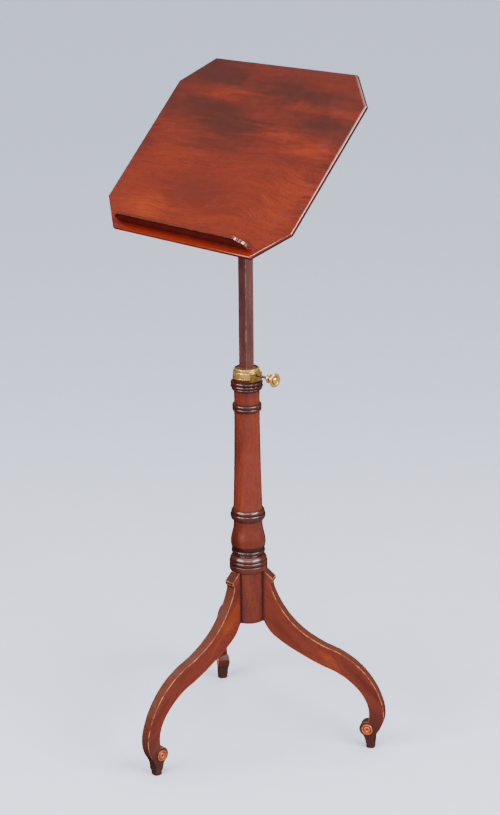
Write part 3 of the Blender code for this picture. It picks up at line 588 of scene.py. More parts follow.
@dataclass(frozen=True)
class Finishes:
    """Every finish, built once."""

    board: Material = field(default_factory=Mahogany(
        "figured mahogany french polished", ground="601d0e", deep="3c1710", glow="7c2a0c",
        worn="a8623e", shaded="280000", figure=Figure.CLOUDED, roughness=0.2, coat=0.8,
        wear=0.15, streak_mm=(170.0, 2.2), streaking=0.45, streak_detail=3.0,
        dulled=0.8).build)
    turned: Material = field(default_factory=Mahogany(
        "turned mahogany french polished", ground="62220f", deep="44150b", glow="782c0c",
        worn="b05c2c", shaded="1c0806", coat=0.25).build)
    sawn: Material = field(default_factory=Mahogany(
        "sawn mahogany french polished", ground="5c2010", deep="4a180c", glow="7a3210",
        worn="ba7648", shaded="2c1613", coat=0.1, specular=0.35, seamed=True).build)
    dark: Material = field(default_factory=Mahogany(
        "stained mahogany waxed", ground="502923", deep="3a1c18", glow="5e332b",
        worn="9a6c5a", roughness=0.28, coat=0.7, wear=0.35).build)
    boxwood: Material = field(default_factory=Boxwood("boxwood turned and polished").build)
    brass: Material = field(default_factory=Metal(
        "brass polished long ago", bright="efbe68", tarnish="8c6234", hollow="2c1a0e",
        roughness=0.2, tarnished=0.7).build)
    iron: Material = field(default_factory=Metal(
        "iron blackened", bright="4a4643", tarnish="3b2a20", hollow="1c1816",
        roughness=0.48, tarnished=0.8).build)
    steel: Material = field(default_factory=Metal(
        "steel gone dull", bright="a3a09a", tarnish="6b6259", hollow="3a342e",
        roughness=0.34, tarnished=0.6).build)
    backdrop: Material = field(default_factory=Backdrop("matt pale backdrop cloth").build)


def linked(name: str, data: bpy.types.ID) -> bpy.types.Object:
    """Return a new object in the scene."""
    made = bpy.data.objects.new(name, data)
    bpy.context.scene.collection.objects.link(made)
    return made


def evaluated(holder: bpy.types.Object) -> Mesh:
    """Apply an object's modifiers and remove the object.

    Args:
        holder: The object.

    Returns:
        Its mesh as the modifiers leave it.
    """
    bpy.context.view_layer.update()
    depsgraph = bpy.context.evaluated_depsgraph_get()
    made = bpy.data.meshes.new_from_object(holder.evaluated_get(depsgraph))
    bpy.data.objects.remove(holder, do_unlink=True)
    return made


def settled(work: bmesh.types.BMesh, made: Mesh | None = None) -> Mesh:
    """End the work on a mesh.

    Args:
        work: What was worked on.
        made: The mesh that takes it, if it isn't a new one.

    Returns:
        The mesh.
    """
    made = made or bpy.data.meshes.new("made")
    work.to_mesh(made)
    work.free()
    return made


def store(mesh: Mesh, name: str, values: Sequence[float], domain: str = 'POINT',
          kind: str = 'FLOAT') -> None:
    """Store an attribute.

    Args:
        mesh: The mesh.
        name: The attribute's name.
        values: Its values, or its vectors' parts, in the domain's order.
        domain: POINT or CORNER.
        kind: FLOAT or FLOAT_VECTOR.
    """
    layer = mesh.attributes.new(name, kind, domain)
    layer.data.foreach_set("vector" if kind == 'FLOAT_VECTOR' else "value", values)


def paint(mesh: Mesh, name: str, tone: Callable[[Vector, Vector], float]) -> None:
    """Store an attribute of each face's corners.

    Args:
        mesh: The mesh.
        name: The attribute's name.
        tone: Gives its value from the face's normal and the corner's place.
    """
    store(mesh, name, [tone(face.normal, mesh.vertices[mesh.loops[corner].vertex_index].co)
                       for face in mesh.polygons for corner in face.loop_indices], 'CORNER')


def skin(work: bmesh.types.BMesh,
         loops: Sequence[Sequence[bmesh.types.BMVert]]) -> list[bmesh.types.BMFace]:
    """Close the bands between loops of corners with smooth faces.

    Args:
        work: The mesh that is worked on.
        loops: The corners of each loop, which are as many in all.

    Returns:
        The faces, band by band.
    """
    faces = []
    for near, far in zip(loops, loops[1:]):
        for index in range(len(near)):
            after = (index + 1) % len(near)
            faces.append(work.faces.new((near[index], near[after], far[after], far[index])))
            faces[-1].smooth = True
    return faces


def ring(reach: float, degrees: Iterable[float]) -> list[Point]:
    """Return points round a centre, at a distance and at angles."""
    return [(reach * math.cos(math.radians(turn)), reach * math.sin(math.radians(turn)))
            for turn in degrees]


def spline_point(before: Vector, start: Vector, end: Vector, after: Vector,
                 share: float) -> Vector:
    """Return a point between start and end on a Catmull-Rom curve.

    Args:
        before: The point before the start.
        start: Where the stretch starts.
        end: Where it ends.
        after: The point after the end.
        share: Place along the stretch, from 0 to 1.

    Returns:
        The point.
    """
    square, cube = share * share, share ** 3
    return 0.5 * (2 * start + (end - before) * share
                  + (2 * before - 5 * start + 4 * end - after) * square
                  + (3 * start - before - 3 * end + after) * cube)


@dataclass
class Profile:
    """A lathe profile in millimetres: radius, height and how dark it is painted, for dirt and
    shade.
    """

    points: list[Triple] = field(default_factory=list)

    def to(self, *points: Sequence[float]) -> "Profile":
        """Run straight through points, each a radius, a height and its shade, if any."""
        self.points += [(*point, 0.0)[:3] for point in points]
        return self

    def bead(self, start: Point, end: Point, bulge: float, shade: float = 0.0,
             steps: int = 12) -> "Profile":
        """Run along a half-round, on the outer side of a line.

        Args:
            start: Radius and height where the bead starts.
            end: Radius and height where it ends.
            bulge: How far it stands out of the line.
            shade: How dark its crest is painted; its ends, in the creases, get more, for painted
                shade and dirt.
            steps: Number of chords.

        Returns:
            The profile itself.
        """
        run = Vector((end[0] - start[0], end[1] - start[1]))
        out = Vector((-run.y, run.x)).normalized() * bulge
        for index in range(steps + 1):
            turn = math.pi * index / steps
            place = Vector(start) + run * ((1 - math.cos(turn)) / 2) + out * math.sin(turn)
            self.to((*place, min(1.0, shade + 0.35 * abs(math.cos(turn)) ** 6)))
        return self

    def curve(self, knots: Sequence[Point], shade: float = 0.0, steps: int = 5) -> "Profile":
        """Run smoothly through points, from the last one reached.

        Args:
            knots: Radius and height of each point.
            shade: How dark it is painted along the curve.
            steps: Number of chords between two points.

        Returns:
            The profile itself.
        """
        path = [Vector(self.points[-1][:2])] + [Vector(knot) for knot in knots]
        for index in range(1, len(path)):
            near = (path[max(index - 2, 0)], path[index - 1], path[index],
                    path[min(index + 1, len(path) - 1)])
            for step in range(1, steps + 1):
                place = spline_point(*near, step / steps)
                self.to((max(place.x, 0.0), place.y, shade))
        return self

    def mesh(self) -> Mesh:
        """Return the profile as a chain of edges in metres, with its shade."""
        made = bpy.data.meshes.new("profile")
        made.from_pydata([(radius * MM, 0.0, height * MM) for radius, height, _ in self.points],
                         [(index, index + 1) for index in range(len(self.points) - 1)], [])
        store(made, "shade", [point[2] for point in self.points])
        return made


class Jig(Graph):
    """A Geometry Nodes tree with named inputs, which ends by setting a material."""

    def __init__(self, name: str, inputs: Iterable[tuple[str, str]]) -> None:
        """Start the tree.

        Args:
            name: The tree's name.
            inputs: Name and kind of each input between its geometry and its material.
        """
        super().__init__(bpy.data.node_groups.new(name, "GeometryNodeTree"))
        for label, kind, way in (
                ("Geometry", "Geometry", 'INPUT'), *((*row, 'INPUT') for row in inputs),
                ("Material", "Material", 'INPUT'), ("Geometry", "Geometry", 'OUTPUT')):
            self.tree.interface.new_socket(label, in_out=way, socket_type="NodeSocket" + kind)
        self.given = self.add_node("NodeGroupInput").outputs

    def named(self, name: str, kind: str) -> Socket:
        """Return an attribute of the geometry."""
        return self.add_node("GeometryNodeInputNamedAttribute", {"Name": name},
                             data_type=kind).outputs[0]

    def sampled(self, value: Socket, index: Socket, kind: str) -> Socket:
        """Return a value at one of the given geometry's points."""
        return self.add_node("GeometryNodeSampleIndex", {
            0: self.given["Geometry"], 1: value, "Index": index}, data_type=kind,
            clamp=True).outputs[0]

    def stored(self, shape: Socket, name: str, value: Socket, kind: str) -> Socket:
        """Return the geometry with an attribute on its points."""
        return self.add_node("GeometryNodeStoreNamedAttribute", {
            "Geometry": shape, "Name": name, "Value": value}, data_type=kind,
            domain='POINT').outputs[0]

    def close(self, shape: Socket) -> "Jig":
        """End the tree in Realize Instances and Set Material.

        Args:
            shape: The geometry so far.

        Returns:
            The jig itself.
        """
        real = self.add_node("GeometryNodeRealizeInstances", {0: shape}).outputs[0]
        dressed = self.add_node("GeometryNodeSetMaterial", {
            "Geometry": real, "Material": self.given["Material"]}).outputs[0]
        self.add_node("NodeGroupOutput", {0: dressed})
        return self

    def run(self, start: Mesh, **settings: Any) -> Mesh:
        """Run the tree on a mesh.

        Args:
            start: The mesh that it starts from.
            **settings: Input name and value; every input but Geometry is named.

        Returns:
            The result as a plain mesh.
        """
        holder = linked("holder", start)
        modifier = holder.modifiers.new(self.tree.name, 'NODES')
        modifier.node_group = self.tree
        for item in self.tree.interface.items_tree:
            if item.in_out == 'INPUT' and item.name in settings:
                modifier[item.identifier] = settings[item.name]
        return evaluated(holder)


def lathe_jig() -> Jig:
    """Return the jig that turns a chain of profile points round Z, in Steps facets."""
    jig = Jig("lathe", (("Steps", "Int"),))
    count = jig.add_node("GeometryNodeAttributeDomainSize", {0: jig.given["Geometry"]},
                         component='MESH').outputs["Point Count"]
    grid = jig.add_node("GeometryNodeMeshGrid", {
        "Size X": 1.0, "Size Y": 1.0, "Vertices X": count,
        "Vertices Y": jig.maths('ADD', jig.given["Steps"], 1.0)}).outputs[0]
    here = jig.add_node("GeometryNodeInputPosition").outputs[0]
    index = jig.maths('ROUND', jig.maths(
        'MULTIPLY', jig.maths('ADD', jig.axis(here, "X"), 0.5), jig.maths('SUBTRACT', count, 1.0)))
    turn = jig.maths('MULTIPLY', jig.axis(here, "Y"), 2 * math.pi)
    knot = jig.sampled(here, index, 'FLOAT_VECTOR')
    dirt = jig.sampled(jig.named("shade", 'FLOAT'), index, 'FLOAT')
    shaded = jig.stored(grid, "shade", dirt, 'FLOAT')
    reach = jig.axis(knot, "X")
    turned = jig.add_node("GeometryNodeSetPosition", {
        "Geometry": shaded, "Position": jig.point({
            0: jig.maths('MULTIPLY', reach, jig.maths('COSINE', turn)),
            1: jig.maths('MULTIPLY', reach, jig.maths('SINE', turn)),
            2: jig.axis(knot, "Z")})}).outputs[0]
    timber = jig.stored(turned, "plank", jig.point({
        0: jig.axis(here, "Z"), 1: jig.axis(here, "X"), 2: jig.axis(here, "Y")}),
        'FLOAT_VECTOR')
    merged = jig.add_node("GeometryNodeMergeByDistance", {
        "Geometry": timber, "Distance": 0.000002}).outputs[0]
    return jig.close(jig.add_node("GeometryNodeSetShadeSmooth", {
        "Geometry": merged}).outputs[0])


def placer_jig() -> Jig:
    """Return the jig that sets a Piece on each point, turned as the point's turn says.

    Spin is the most that a copy is turned about its own axis, and Seed draws how far.
    """
    jig = Jig("placer", (("Piece", "Object"), ("Spin", "Float"), ("Seed", "Int")))
    piece = jig.add_node("GeometryNodeObjectInfo", {0: jig.given["Piece"]})
    chance = jig.add_node("FunctionNodeRandomValue", {
        2: 0.0, 3: jig.given["Spin"], "Seed": jig.given["Seed"]}, data_type='FLOAT')
    turned, spun = (jig.add_node("FunctionNodeEulerToRotation", {0: angles}).outputs[0]
                    for angles in (jig.named("turn", 'FLOAT_VECTOR'),
                                   jig.point({2: chance.outputs[1]})))
    both = jig.add_node("FunctionNodeRotateRotation", {0: turned, 1: spun},
                        rotation_space='LOCAL').outputs[0]
    return jig.close(jig.add_node("GeometryNodeInstanceOnPoints", {
        "Points": jig.given["Geometry"], "Instance": piece.outputs["Geometry"],
        "Rotation": both}).outputs[0])


def thread_jig() -> Jig:
    """Return the jig that winds a ridge round Z, upwards from zero."""
    jig = Jig("threader", ((name, "Float") for name in ("Radius", "Length", "Pitch", "Depth")))
    radius, length = jig.given["Radius"], jig.given["Length"]
    helix = jig.add_node("GeometryNodeCurveSpiral", {
        "Resolution": 24, "Rotations": jig.maths('DIVIDE', length, jig.given["Pitch"]),
        "Start Radius": radius, "End Radius": radius, "Height": length}).outputs[0]
    ridge = jig.add_node("GeometryNodeCurvePrimitiveCircle", {
        "Resolution": 4, "Radius": jig.given["Depth"]}, mode='RADIUS').outputs[0]
    return jig.close(jig.add_node("GeometryNodeCurveToMesh", {
        "Curve": helix, "Profile Curve": ridge, "Fill Caps": True}).outputs[0])


@dataclass(frozen=True)
class Workshop:
    """The three jigs and what is made on them."""

    lathe: Jig = field(default_factory=lathe_jig)
    placer: Jig = field(default_factory=placer_jig)
    threader: Jig = field(default_factory=thread_jig)

    def turn(self, profile: Profile, material: Material, steps: int = 96) -> Mesh:
        """Turn a profile on the lathe.

        Args:
            profile: The profile, run so that the solid lies on its inner side.
            material: The finish.
            steps: Number of facets round the axis.

        Returns:
            The turned mesh, its axis along Z.
        """
        made = self.lathe.run(profile.mesh(), Steps=steps, Material=material)
        made.set_sharp_from_angle(angle=CRISP_TURNED)
        return made

    def place(self, piece: Mesh, places: Sequence[Matrix], material: Material,
              spin: float = 0.0, seed: int = 0) -> Mesh:
        """Set copies of a piece at places.

        Args:
            piece: The mesh of one piece.
            places: Where each copy goes and how it is turned.
            material: The finish.
            spin: Most that each copy is turned about its own axis, in radians.
            seed: Seed of that turn.

        Returns:
            One mesh with every copy.
        """
        points = bpy.data.meshes.new("places")
        points.from_pydata([matrix.translation for matrix in places], [], [])
        store(points, "turn", [angle for matrix in places for angle in matrix.to_euler('XYZ')],
              kind='FLOAT_VECTOR')
        pattern = linked("pattern", piece)
        made = self.placer.run(points, Piece=pattern, Spin=spin, Seed=seed, Material=material)
        bpy.data.objects.remove(pattern, do_unlink=True)
        return made

    def thread(self, radius_mm: float, start_mm: float, length_mm: float, pitch_mm: float,
               material: Material) -> Mesh:
        """Wind a thread's ridge along Z.

        Args:
            radius_mm: Radius of the ridge's middle.
            start_mm: Height where it starts.
            length_mm: Length along the axis.
            pitch_mm: Distance between two turns.
            material: The finish.

        Returns:
            The ridge's mesh.
        """
        made = self.threader.run(
            bpy.data.meshes.new("start"), Radius=radius_mm * MM, Length=length_mm * MM,
            Pitch=pitch_mm * MM, Depth=pitch_mm * MM * RIDGE, Material=material)
        made.transform(Matrix.Translation((0, 0, start_mm * MM)))
        return made


def smooth_outline(runs: Iterable[tuple[Sequence[Point], bool]], steps: int) -> list[Point]:
    """Run a closed curve through points, with some of them as corners.

    Args:
        runs: Runs of the outline's points, each with whether they are corners.
        steps: Number of chords between two points.

    Returns:
        The finer outline.
    """
    marked = [(point, corner) for points, corner in runs for point in points]
    curve = bpy.data.curves.new("outline", 'CURVE')
    curve.dimensions = '2D'
    curve.fill_mode = 'NONE'
    curve.resolution_u = steps
    spline = curve.splines.new('BEZIER')
    spline.bezier_points.add(len(marked) - 1)
    for knot, ((across, up), corner) in zip(spline.bezier_points, marked):
        knot.co = (across, up, 0)
        knot.handle_left_type = knot.handle_right_type = 'VECTOR' if corner else 'AUTO'
    spline.use_cyclic_u = True
    path: list[Point] = []
    for vertex in evaluated(linked("outline", curve)).vertices:
        place = (vertex.co.x, vertex.co.y)
        if not path or math.dist(path[-1], place) > SAME_POINT:
            path.append(place)
    if math.dist(path[0], path[-1]) < SAME_POINT:
        path.pop()
    return path


def sawn(outline: Sequence[Point], half: Callable[[float], float], arris: float,
         limit_deg: float = 50.0) -> Mesh:
    """Saw a piece out of a plank and take its arrises off.

    Args:
        outline: The outline in the XZ plane.
        half: Half of the thickness along Y, from the place along X.
        arris: Radius of the worn arrises.
        limit_deg: Edges sharper than this are rounded.

    Returns:
        The mesh, with the arris attribute at one on the rounded edges.
    """
    work = bmesh.new()
    near, far = ([work.verts.new((x, sign * half(x), z)) for x, z in outline]
                 for sign in (-1, 1))
    work.faces.new(near)
    work.faces.new(list(reversed(far)))
    for index in range(len(outline)):
        after = (index + 1) % len(outline)
        work.faces.new((near[after], near[index], far[index], far[after]))
    bmesh.ops.recalc_face_normals(work, faces=work.faces)
    limit = math.radians(limit_deg)
    edges = [edge for edge in work.edges if edge.calc_face_angle_signed(0.0) > limit]
    rounded = bmesh.ops.bevel(work, geom=edges, offset=arris, segments=3, profile=0.5,
                              affect='EDGES', clamp_overlap=True)
    layer = work.loops.layers.float.new("arris")
    for face in rounded["faces"]:
        for corner in face.loops:
            corner[layer] = 1.0
    for face in work.faces:
        face.smooth = True
    return settled(work)


def weighted(mesh: Mesh) -> Mesh:
    """Make broad faces look flat and arrises look round.

    Args:
        mesh: The mesh.

    Returns:
        The mesh with its faces' normals weighted.
    """
    mesh.set_sharp_from_angle(angle=CRISP)
    holder = linked("holder", mesh)
    modifier = holder.modifiers.new("weighted", 'WEIGHTED_NORMAL')
    modifier.weight = 100
    modifier.keep_sharp = True
    return evaluated(holder)


def store_plank(mesh: Mesh, turn: Matrix = Matrix.Identity(4), lot: float = 0.0) -> None:
    """Store each point's place in its timber, X with the grain.

    Args:
        mesh: The mesh.
        turn: Turns the mesh's own frame to the timber's.
        lot: Another number gives another stretch of timber.
    """
    shift = Vector((0.37, 0.11, 0.05)) * lot
    store(mesh, "plank", [part for vertex in mesh.vertices for part in turn @ vertex.co + shift],
          kind='FLOAT_VECTOR')


def joined(meshes: Sequence[Mesh]) -> Mesh:
    """Join meshes.

    Args:
        meshes: The meshes, the first of which gives the attributes.

    Returns:
        One mesh that holds them all.
    """
    work = bmesh.new()
    for mesh in meshes:
        work.from_mesh(mesh)
    return settled(work, meshes[0].copy())


def combined(base: Mesh, steps: Sequence[tuple[Mesh, str]]) -> Mesh:
    """Cut meshes out of a mesh or add them to it.

    Args:
        base: The mesh to start from.
        steps: Each tool mesh with UNION or DIFFERENCE, in order.

    Returns:
        The combined mesh.
    """
    holder = linked("holder", base)
    tools = []
    for mesh, operation in steps:
        for layer in base.attributes:
            if layer.data_type == 'FLOAT' and layer.name not in mesh.attributes:
                mesh.attributes.new(layer.name, 'FLOAT', layer.domain)
        tools.append(linked("tool", mesh))
        modifier = holder.modifiers.new(operation, 'BOOLEAN')
        modifier.operation = operation
        modifier.solver = 'EXACT'
        modifier.object = tools[-1]
    made = evaluated(holder)
    for tool in tools:
        bpy.data.objects.remove(tool, do_unlink=True)
    return made


def block(low: Sequence[float], high: Sequence[float], arris: float = 0.0) -> Mesh:
    """Make a box.

    Args:
        low: Its lowest corner.
        high: Its highest corner.
        arris: Radius of its edges, which are sharp at zero.

    Returns:
        The box's mesh.
    """
    work = bmesh.new()
    bmesh.ops.create_cube(work, size=1.0)
    for corner in work.verts:
        for axis in range(3):
            middle = (low[axis] + high[axis]) / 2
            corner.co[axis] = middle + corner.co[axis] * (high[axis] - low[axis])
    if arris:
        bmesh.ops.bevel(work, geom=list(work.edges), offset=arris, segments=3, profile=0.5,
                        affect='EDGES')
    return settled(work)


def finish_piece(name: str, mesh: Mesh, place: Matrix, body: Body, slot: Slot,
                 material: Material, *nodes: str) -> None:
    """Set a piece in the stand's frame and hand it to its body.

    Args:
        name: The piece's name.
        mesh: Its mesh, in the frame that it was made in.
        place: Takes that frame to the stand's.
        body: The body that it moves with.
        slot: The record's slot; not used.
        material: Its finish.
        *nodes: The solids that it stands for.
    """
    mesh.transform(place)
    mesh.name = name
    mesh.materials.clear()
    mesh.materials.append(material)
    piece = linked(name, mesh)
    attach(piece, body.value)
    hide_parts(*nodes)
    LOG.info("%s: %d faces on %s, for %s", name, len(mesh.polygons), body.value,
             ", ".join(nodes))


@dataclass(frozen=True)
class Column:
    """The turned column, bored for the pole."""

    workshop: Workshop
    finish: Material
    bore_floor_mm: float = 262.0
    bore_radius_mm: float = 13.16
    seat_floor_mm: float = 659.8
    seat_radius_mm: float = 16.3
    top_mm: float = 687.8
    block_radius_mm: float = 31.0
    block_top_mm: float = 327.6
    foot_mm: float = 230.0
    # Bearings of the legs, how far beside each the block takes painted shade and dirt, and where
    # that fades
    legs_deg: Triple = (-90.0, 30.0, 150.0)
    seam_deg: float = 27.0
    seam_fade_deg: float = 5.0
    shaft: tuple[Point, ...] = (
        (22.6, 605), (22.8, 590), (23.1, 570), (23.4, 551), (23.8, 533), (24.1, 514),
        (24.6, 495), (25.2, 476), (25.7, 457), (26.0, 445.6))
    vase: tuple[Point, ...] = (
        (25.9, 418.7), (26.1, 413), (26.5, 409), (27.1, 405), (27.9, 401.4), (28.9, 397.5),
        (29.8, 393.7), (30.6, 389.8), (31.2, 386), (31.5, 380.5), (31.2, 376.3), (30.3, 372.4),
        (29.3, 370.0), (28.4, 368.2))

    def _profile(self) -> Profile:
        """Return the profile: up the bore, over the top and down the mouldings."""
        floor, seat, top, foot = self.bore_floor_mm, self.seat_floor_mm, self.top_mm, self.foot_mm
        bore, sleeve, side = self.bore_radius_mm, self.seat_radius_mm, self.block_radius_mm
        # The third numbers paint darkness: darker rings, grooves, vase and block, and painted
        # shade in the creases, where the vase curls under and under the plinth
        shape = Profile().to((0, floor, 0.9), (bore, floor, 0.9), (bore, seat, 0.9),
                             (sleeve, seat, 0.9), (sleeve, top, 0.9), (23.9, top, 0.5),
                             (24.3, top - 0.4, 0.5), (24.4, 682.3, 0.7))
        shape.bead((26.4, 681.9), (26.6, 676.2), 2.0, 0.7)
        shape.bead((26.6, 675.9), (26.7, 670.0), 1.9, 0.7)
        shape.bead((25.8, 669.7), (25.2, 666.0), 1.3, 0.6)
        shape.to((24.6, 665.2, 0.6)).curve(((23.4, 664.0), (22.8, 662.6)), 0.2)
        shape.to((22.5, 650.0), (22.5, 643.2, 0.15), (22.7, 640.6, 0.6))
        shape.bead((23.9, 640.1), (24.4, 634.0), 1.8, 0.65)
        shape.bead((24.4, 633.6), (23.8, 627.3), 1.8, 0.65)
        shape.to((22.8, 626.6, 0.5), (22.7, 624.5, 0.05)).curve(self.shaft)
        shape.to((26.2, 444.4, 0.5)).bead((26.9, 444.0), (29.7, 436.7), 1.2, 0.65)
        shape.bead((29.6, 435.9), (26.8, 423.6), 3.2, 0.65).to((26.0, 422.6, 0.7))
        # The vase darkens downwards, to painted shade where it curls under
        shape.curve(self.vase[:8], 0.3).curve(self.vase[8:-3], 0.4).curve(self.vase[-3:], 0.9)
        shape.bead((28.5, 367.0), (28.7, 360.8), 1.9, 0.75).to((28.2, 360.0, 0.8))
        shape.curve(((26.4, 359.4), (25.6, 358.4), (25.9, 357.6)), 0.85)
        shape.bead((26.6, 357.0), (32.7, 347.2), 1.9, 0.6)
        shape.bead((32.6, 346.6), (33.7, 341.0), 1.2, 0.6)
        shape.to((33.1, 340.4, 1.0), (33.3, 338.8, 1.0), (34.1, 338.2, 0.6), (34.3, 337.4, 0.4),
                 (34.3, 328.9, 0.5), (33.9, 328.3, 0.5), (31.2, 328.0, 0.9),
                 (side, self.block_top_mm, 0.5))
        shape.to(*((side, height, 0.3) for height in (324.0, 302.0, 280.0, 258.0, 236.0)))
        return shape.to((side, foot + 0.8, 0.6), (side - 0.8, foot, 0.6), (0, foot, 0.6))

    def _paint_seam_shade(self, mesh: Mesh) -> None:
        """Paint shade and dirt on the block beside each leg, where the leg meets it.

        Args:
            mesh: The turned column.
        """
        reach = (self.block_radius_mm - 0.1) * MM
        low, high = self.foot_mm * MM, (self.block_top_mm - 0.1) * MM
        for vertex, shade in zip(mesh.vertices, mesh.attributes["shade"].data):
            if low < vertex.co.z < high and vertex.co.xy.length > reach:
                bearing = math.degrees(math.atan2(vertex.co.y, vertex.co.x))
                aside = min(abs((bearing - leg + 180) % 360 - 180) for leg in self.legs_deg)
                dirt = (self.seam_deg - aside) / self.seam_fade_deg
                shade.value = max(shade.value, min(1.0, dirt))

    def build(self) -> None:
        """Turn and dress the column."""
        mesh = self.workshop.turn(self._profile(), self.finish, steps=120)
        self._paint_seam_shade(mesh)
        finish_piece("column_turned", mesh, AXIS_FRAME, Body.STAND, Slot.TURNED, self.finish,
                     "column")


@dataclass(frozen=True)
class Legs:
    """The three scrolled legs and their boxwood roundels."""

    workshop: Workshop
    wood: Material
    boxwood: Material
    bearings: tuple[tuple[str, float], ...] = (("front", -90.0), ("right", 30.0),
                                               ("left", 150.0))
    block_radius: float = 0.0310
    block_foot: float = 0.2300
    block_height: float = 0.0980
    reach: float = 0.2550
    half_top: float = 0.0105
    half_foot: float = 0.0090
    arris: float = 0.0007
    cap_reach: float = 0.0174
    # Painted darker on the cap's top and its nose, and darkest under the nose, where it is painted
    # shade: heights below the nose, and how dark
    cap_nose: float = 0.0145
    cap_shade: tuple[Triple, ...] = (
        (-0.0160, 0.0001, 0.5), (0.0001, 0.0052, 0.6), (0.0052, 0.0105, 0.95))
    foot_inner: float = 0.2220
    foot_outer: float = 0.2380
    foot_corner: float = 0.0074
    scroll_place: float = 0.2247
    scroll_height: float = 0.0375
    scroll_radius: float = 0.0150
    # Where the scroll leaves the foot block and where it meets the leg's underside
    scroll_deg: Point = (240.0, 84.0)
    roundel_mm: float = 10.7
    # Shares as in the solids: reach from the block, height in storeys of it
    upper: tuple[Point, ...] = (
        (0.062, 1.714), (0.082, 1.569), (0.134, 1.337), (0.210, 1.095), (0.307, 0.950),
        (0.471, 0.854), (0.642, 0.788), (0.781, 0.700), (0.893, 0.579), (0.966, 0.447),
        (1.000, 0.307), (0.984, 0.209), (0.930, 0.100))
    lower: tuple[Point, ...] = (
        (0.876, 0.283), (0.869, 0.354), (0.826, 0.448), (0.750, 0.532), (0.630, 0.616),
        (0.469, 0.678), (0.303, 0.755), (0.134, 0.851), (0.049, 0.921))

    def _point(self, share: Point) -> Point:
        """Return the place of one point of the outline.

        Args:
            share: Its share of the reach, and its height in storeys.

        Returns:
            Its distance from the axis and its height.
        """
        across = self.block_radius + share[0] * (self.reach - self.block_radius)
        if share[1] > 1:
            return across, self.block_foot + (share[1] - 1) * self.block_height
        return across, share[1] * self.block_foot

    def _outline(self) -> list[Point]:
        """Return the leg's fine outline, seen from its side."""
        inside = self.block_radius - 0.0025
        top = self.block_foot + self.block_height - 0.0003
        nose = self.block_radius + self.cap_reach
        ankle = (self.scroll_height - self.scroll_radius) / 2
        start, end = self.scroll_deg
        scroll = [(self.scroll_place + across, self.scroll_height + up) for across, up in
                  ring(self.scroll_radius, [start + (end - start) * step / 7
                                            for step in range(8)])]
        return smooth_outline([
            ([(inside, top), (self.block_radius + 0.0020, top), (nose, top - 0.0142),
              (nose, top - 0.0197), (nose - 0.0033, top - 0.0230)], True),
            ([*map(self._point, self.upper), (self.foot_outer, ankle)], False),
            ([(self.foot_outer, 0.0), (self.foot_inner, 0.0)], True),
            ([(self.foot_inner, ankle), *scroll[:-1]], False), (scroll[-1:], True),
            ([*map(self._point, self.lower)], False),
            ([(self.block_radius, self.block_foot), (inside, self.block_foot)], True)], 6)

    def _half(self, across: float) -> float:
        """Return half of the leg's thickness at a distance from the axis."""
        share = (across - self.block_radius) / (self.reach - self.block_radius)
        return self.half_top + (self.half_foot - self.half_top) * share

    def _corner_cutter(self) -> Mesh:
        """Return the tool that rounds the foot block's four upright corners."""
        middle = (self.foot_inner + self.foot_outer) / 2
        clear = 0.00015
        long = (self.foot_outer - self.foot_inner) / 2 + clear
        wide = self._half(middle) + clear
        # Height, corner radius and growth of each ring, up inside and down outside
        rings = ((-0.001, self.foot_corner, 0.0), (0.0055, self.foot_corner, 0.0),
                 (0.0085, self.foot_corner * 0.55, 0.0), (0.0108, 0.0002, 0.0),
                 (0.0108, 0.0002, 0.004), (-0.001, 0.0002, 0.004))
        work = bmesh.new()
        loops = []
        for height, radius, grown in rings:
            loop = []
            for quarter, (right, far) in enumerate(((1, 1), (-1, 1), (-1, -1), (1, -1))):
                for across, up in ring(radius, [90 * quarter + 15 * step for step in range(7)]):
                    loop.append(work.verts.new((middle + right * (long + grown - radius) + across,
                                                far * (wide + grown - radius) + up, height)))
            loops.append(loop)
        skin(work, [*loops, loops[0]])
        bmesh.ops.recalc_face_normals(work, faces=work.faces)
        return settled(work)

    def _painted_cap_shade(self, normal: Vector, place: Vector) -> float:
        """Say how dark a corner is painted: only on the cap, darkest in the painted shade under
        its nose, and not on the leg's flat sides.

        Args:
            normal: The normal of the corner's face.
            place: The corner's place.

        Returns:
            How dark it is painted, from 0 to 1.
        """
        if abs(normal.y) >= 0.9 or place.x <= self.block_radius:
            return 0.0
        nose = self.block_foot + self.block_height - self.cap_nose
        return next((dark for start, end, dark in self.cap_shade
                     if start < nose - place.z <= end), 0.0)

    def _leg(self) -> Mesh:
        """Saw out a leg, round its foot block, and paint shade on its outer faces and its cap."""
        mesh = combined(sawn(self._outline(), self._half, self.arris, 40.0),
                        [(self._corner_cutter(), 'DIFFERENCE')])
        # The cap is painted dark, darkest in the painted shade under its nose
        paint(mesh, "shade", self._painted_cap_shade)
        # The outer and upper faces take painted shade, a darker brown
        paint(mesh, "outer_shade", lambda normal, place: float(
            abs(normal.y) < 0.5 and normal.x + normal.z > 0.35))
        return weighted(mesh)

    def _roundel(self) -> Profile:
        """Return a roundel's profile, from its centre to its flat back."""
        size = self.roundel_mm
        # The third numbers paint the centre, the grooves and the rim dark, for old waxing and
        # painted shade
        shape = Profile().to((0, 1.3, 1.0), (0.12 * size, 1.2, 1.0), (0.18 * size, 1.4, 0.9))
        shape.curve(((0.25 * size, 2.0), (0.33 * size, 2.45), (0.44 * size, 2.5),
                     (0.53 * size, 2.1), (0.58 * size, 1.4)), 0.0, 4)
        shape.to((0.59 * size, 0.8, 1.0), (0.70 * size, 0.8, 1.0))
        shape.curve(((0.73 * size, 1.6), (0.81 * size, 2.0), (0.90 * size, 1.9),
                     (0.94 * size, 1.5)), 0.0, 4)
        return shape.to((0.96 * size, 1.3, 0.8), (0.99 * size, 0.9, 1.0), (size, 0.6, 1.0),
                        (size, 0.0, 0.8), (0.0, 0.0, 0.8))

    def build(self) -> None:
        """Saw out and dress the legs, and set the roundels on their scrolls."""
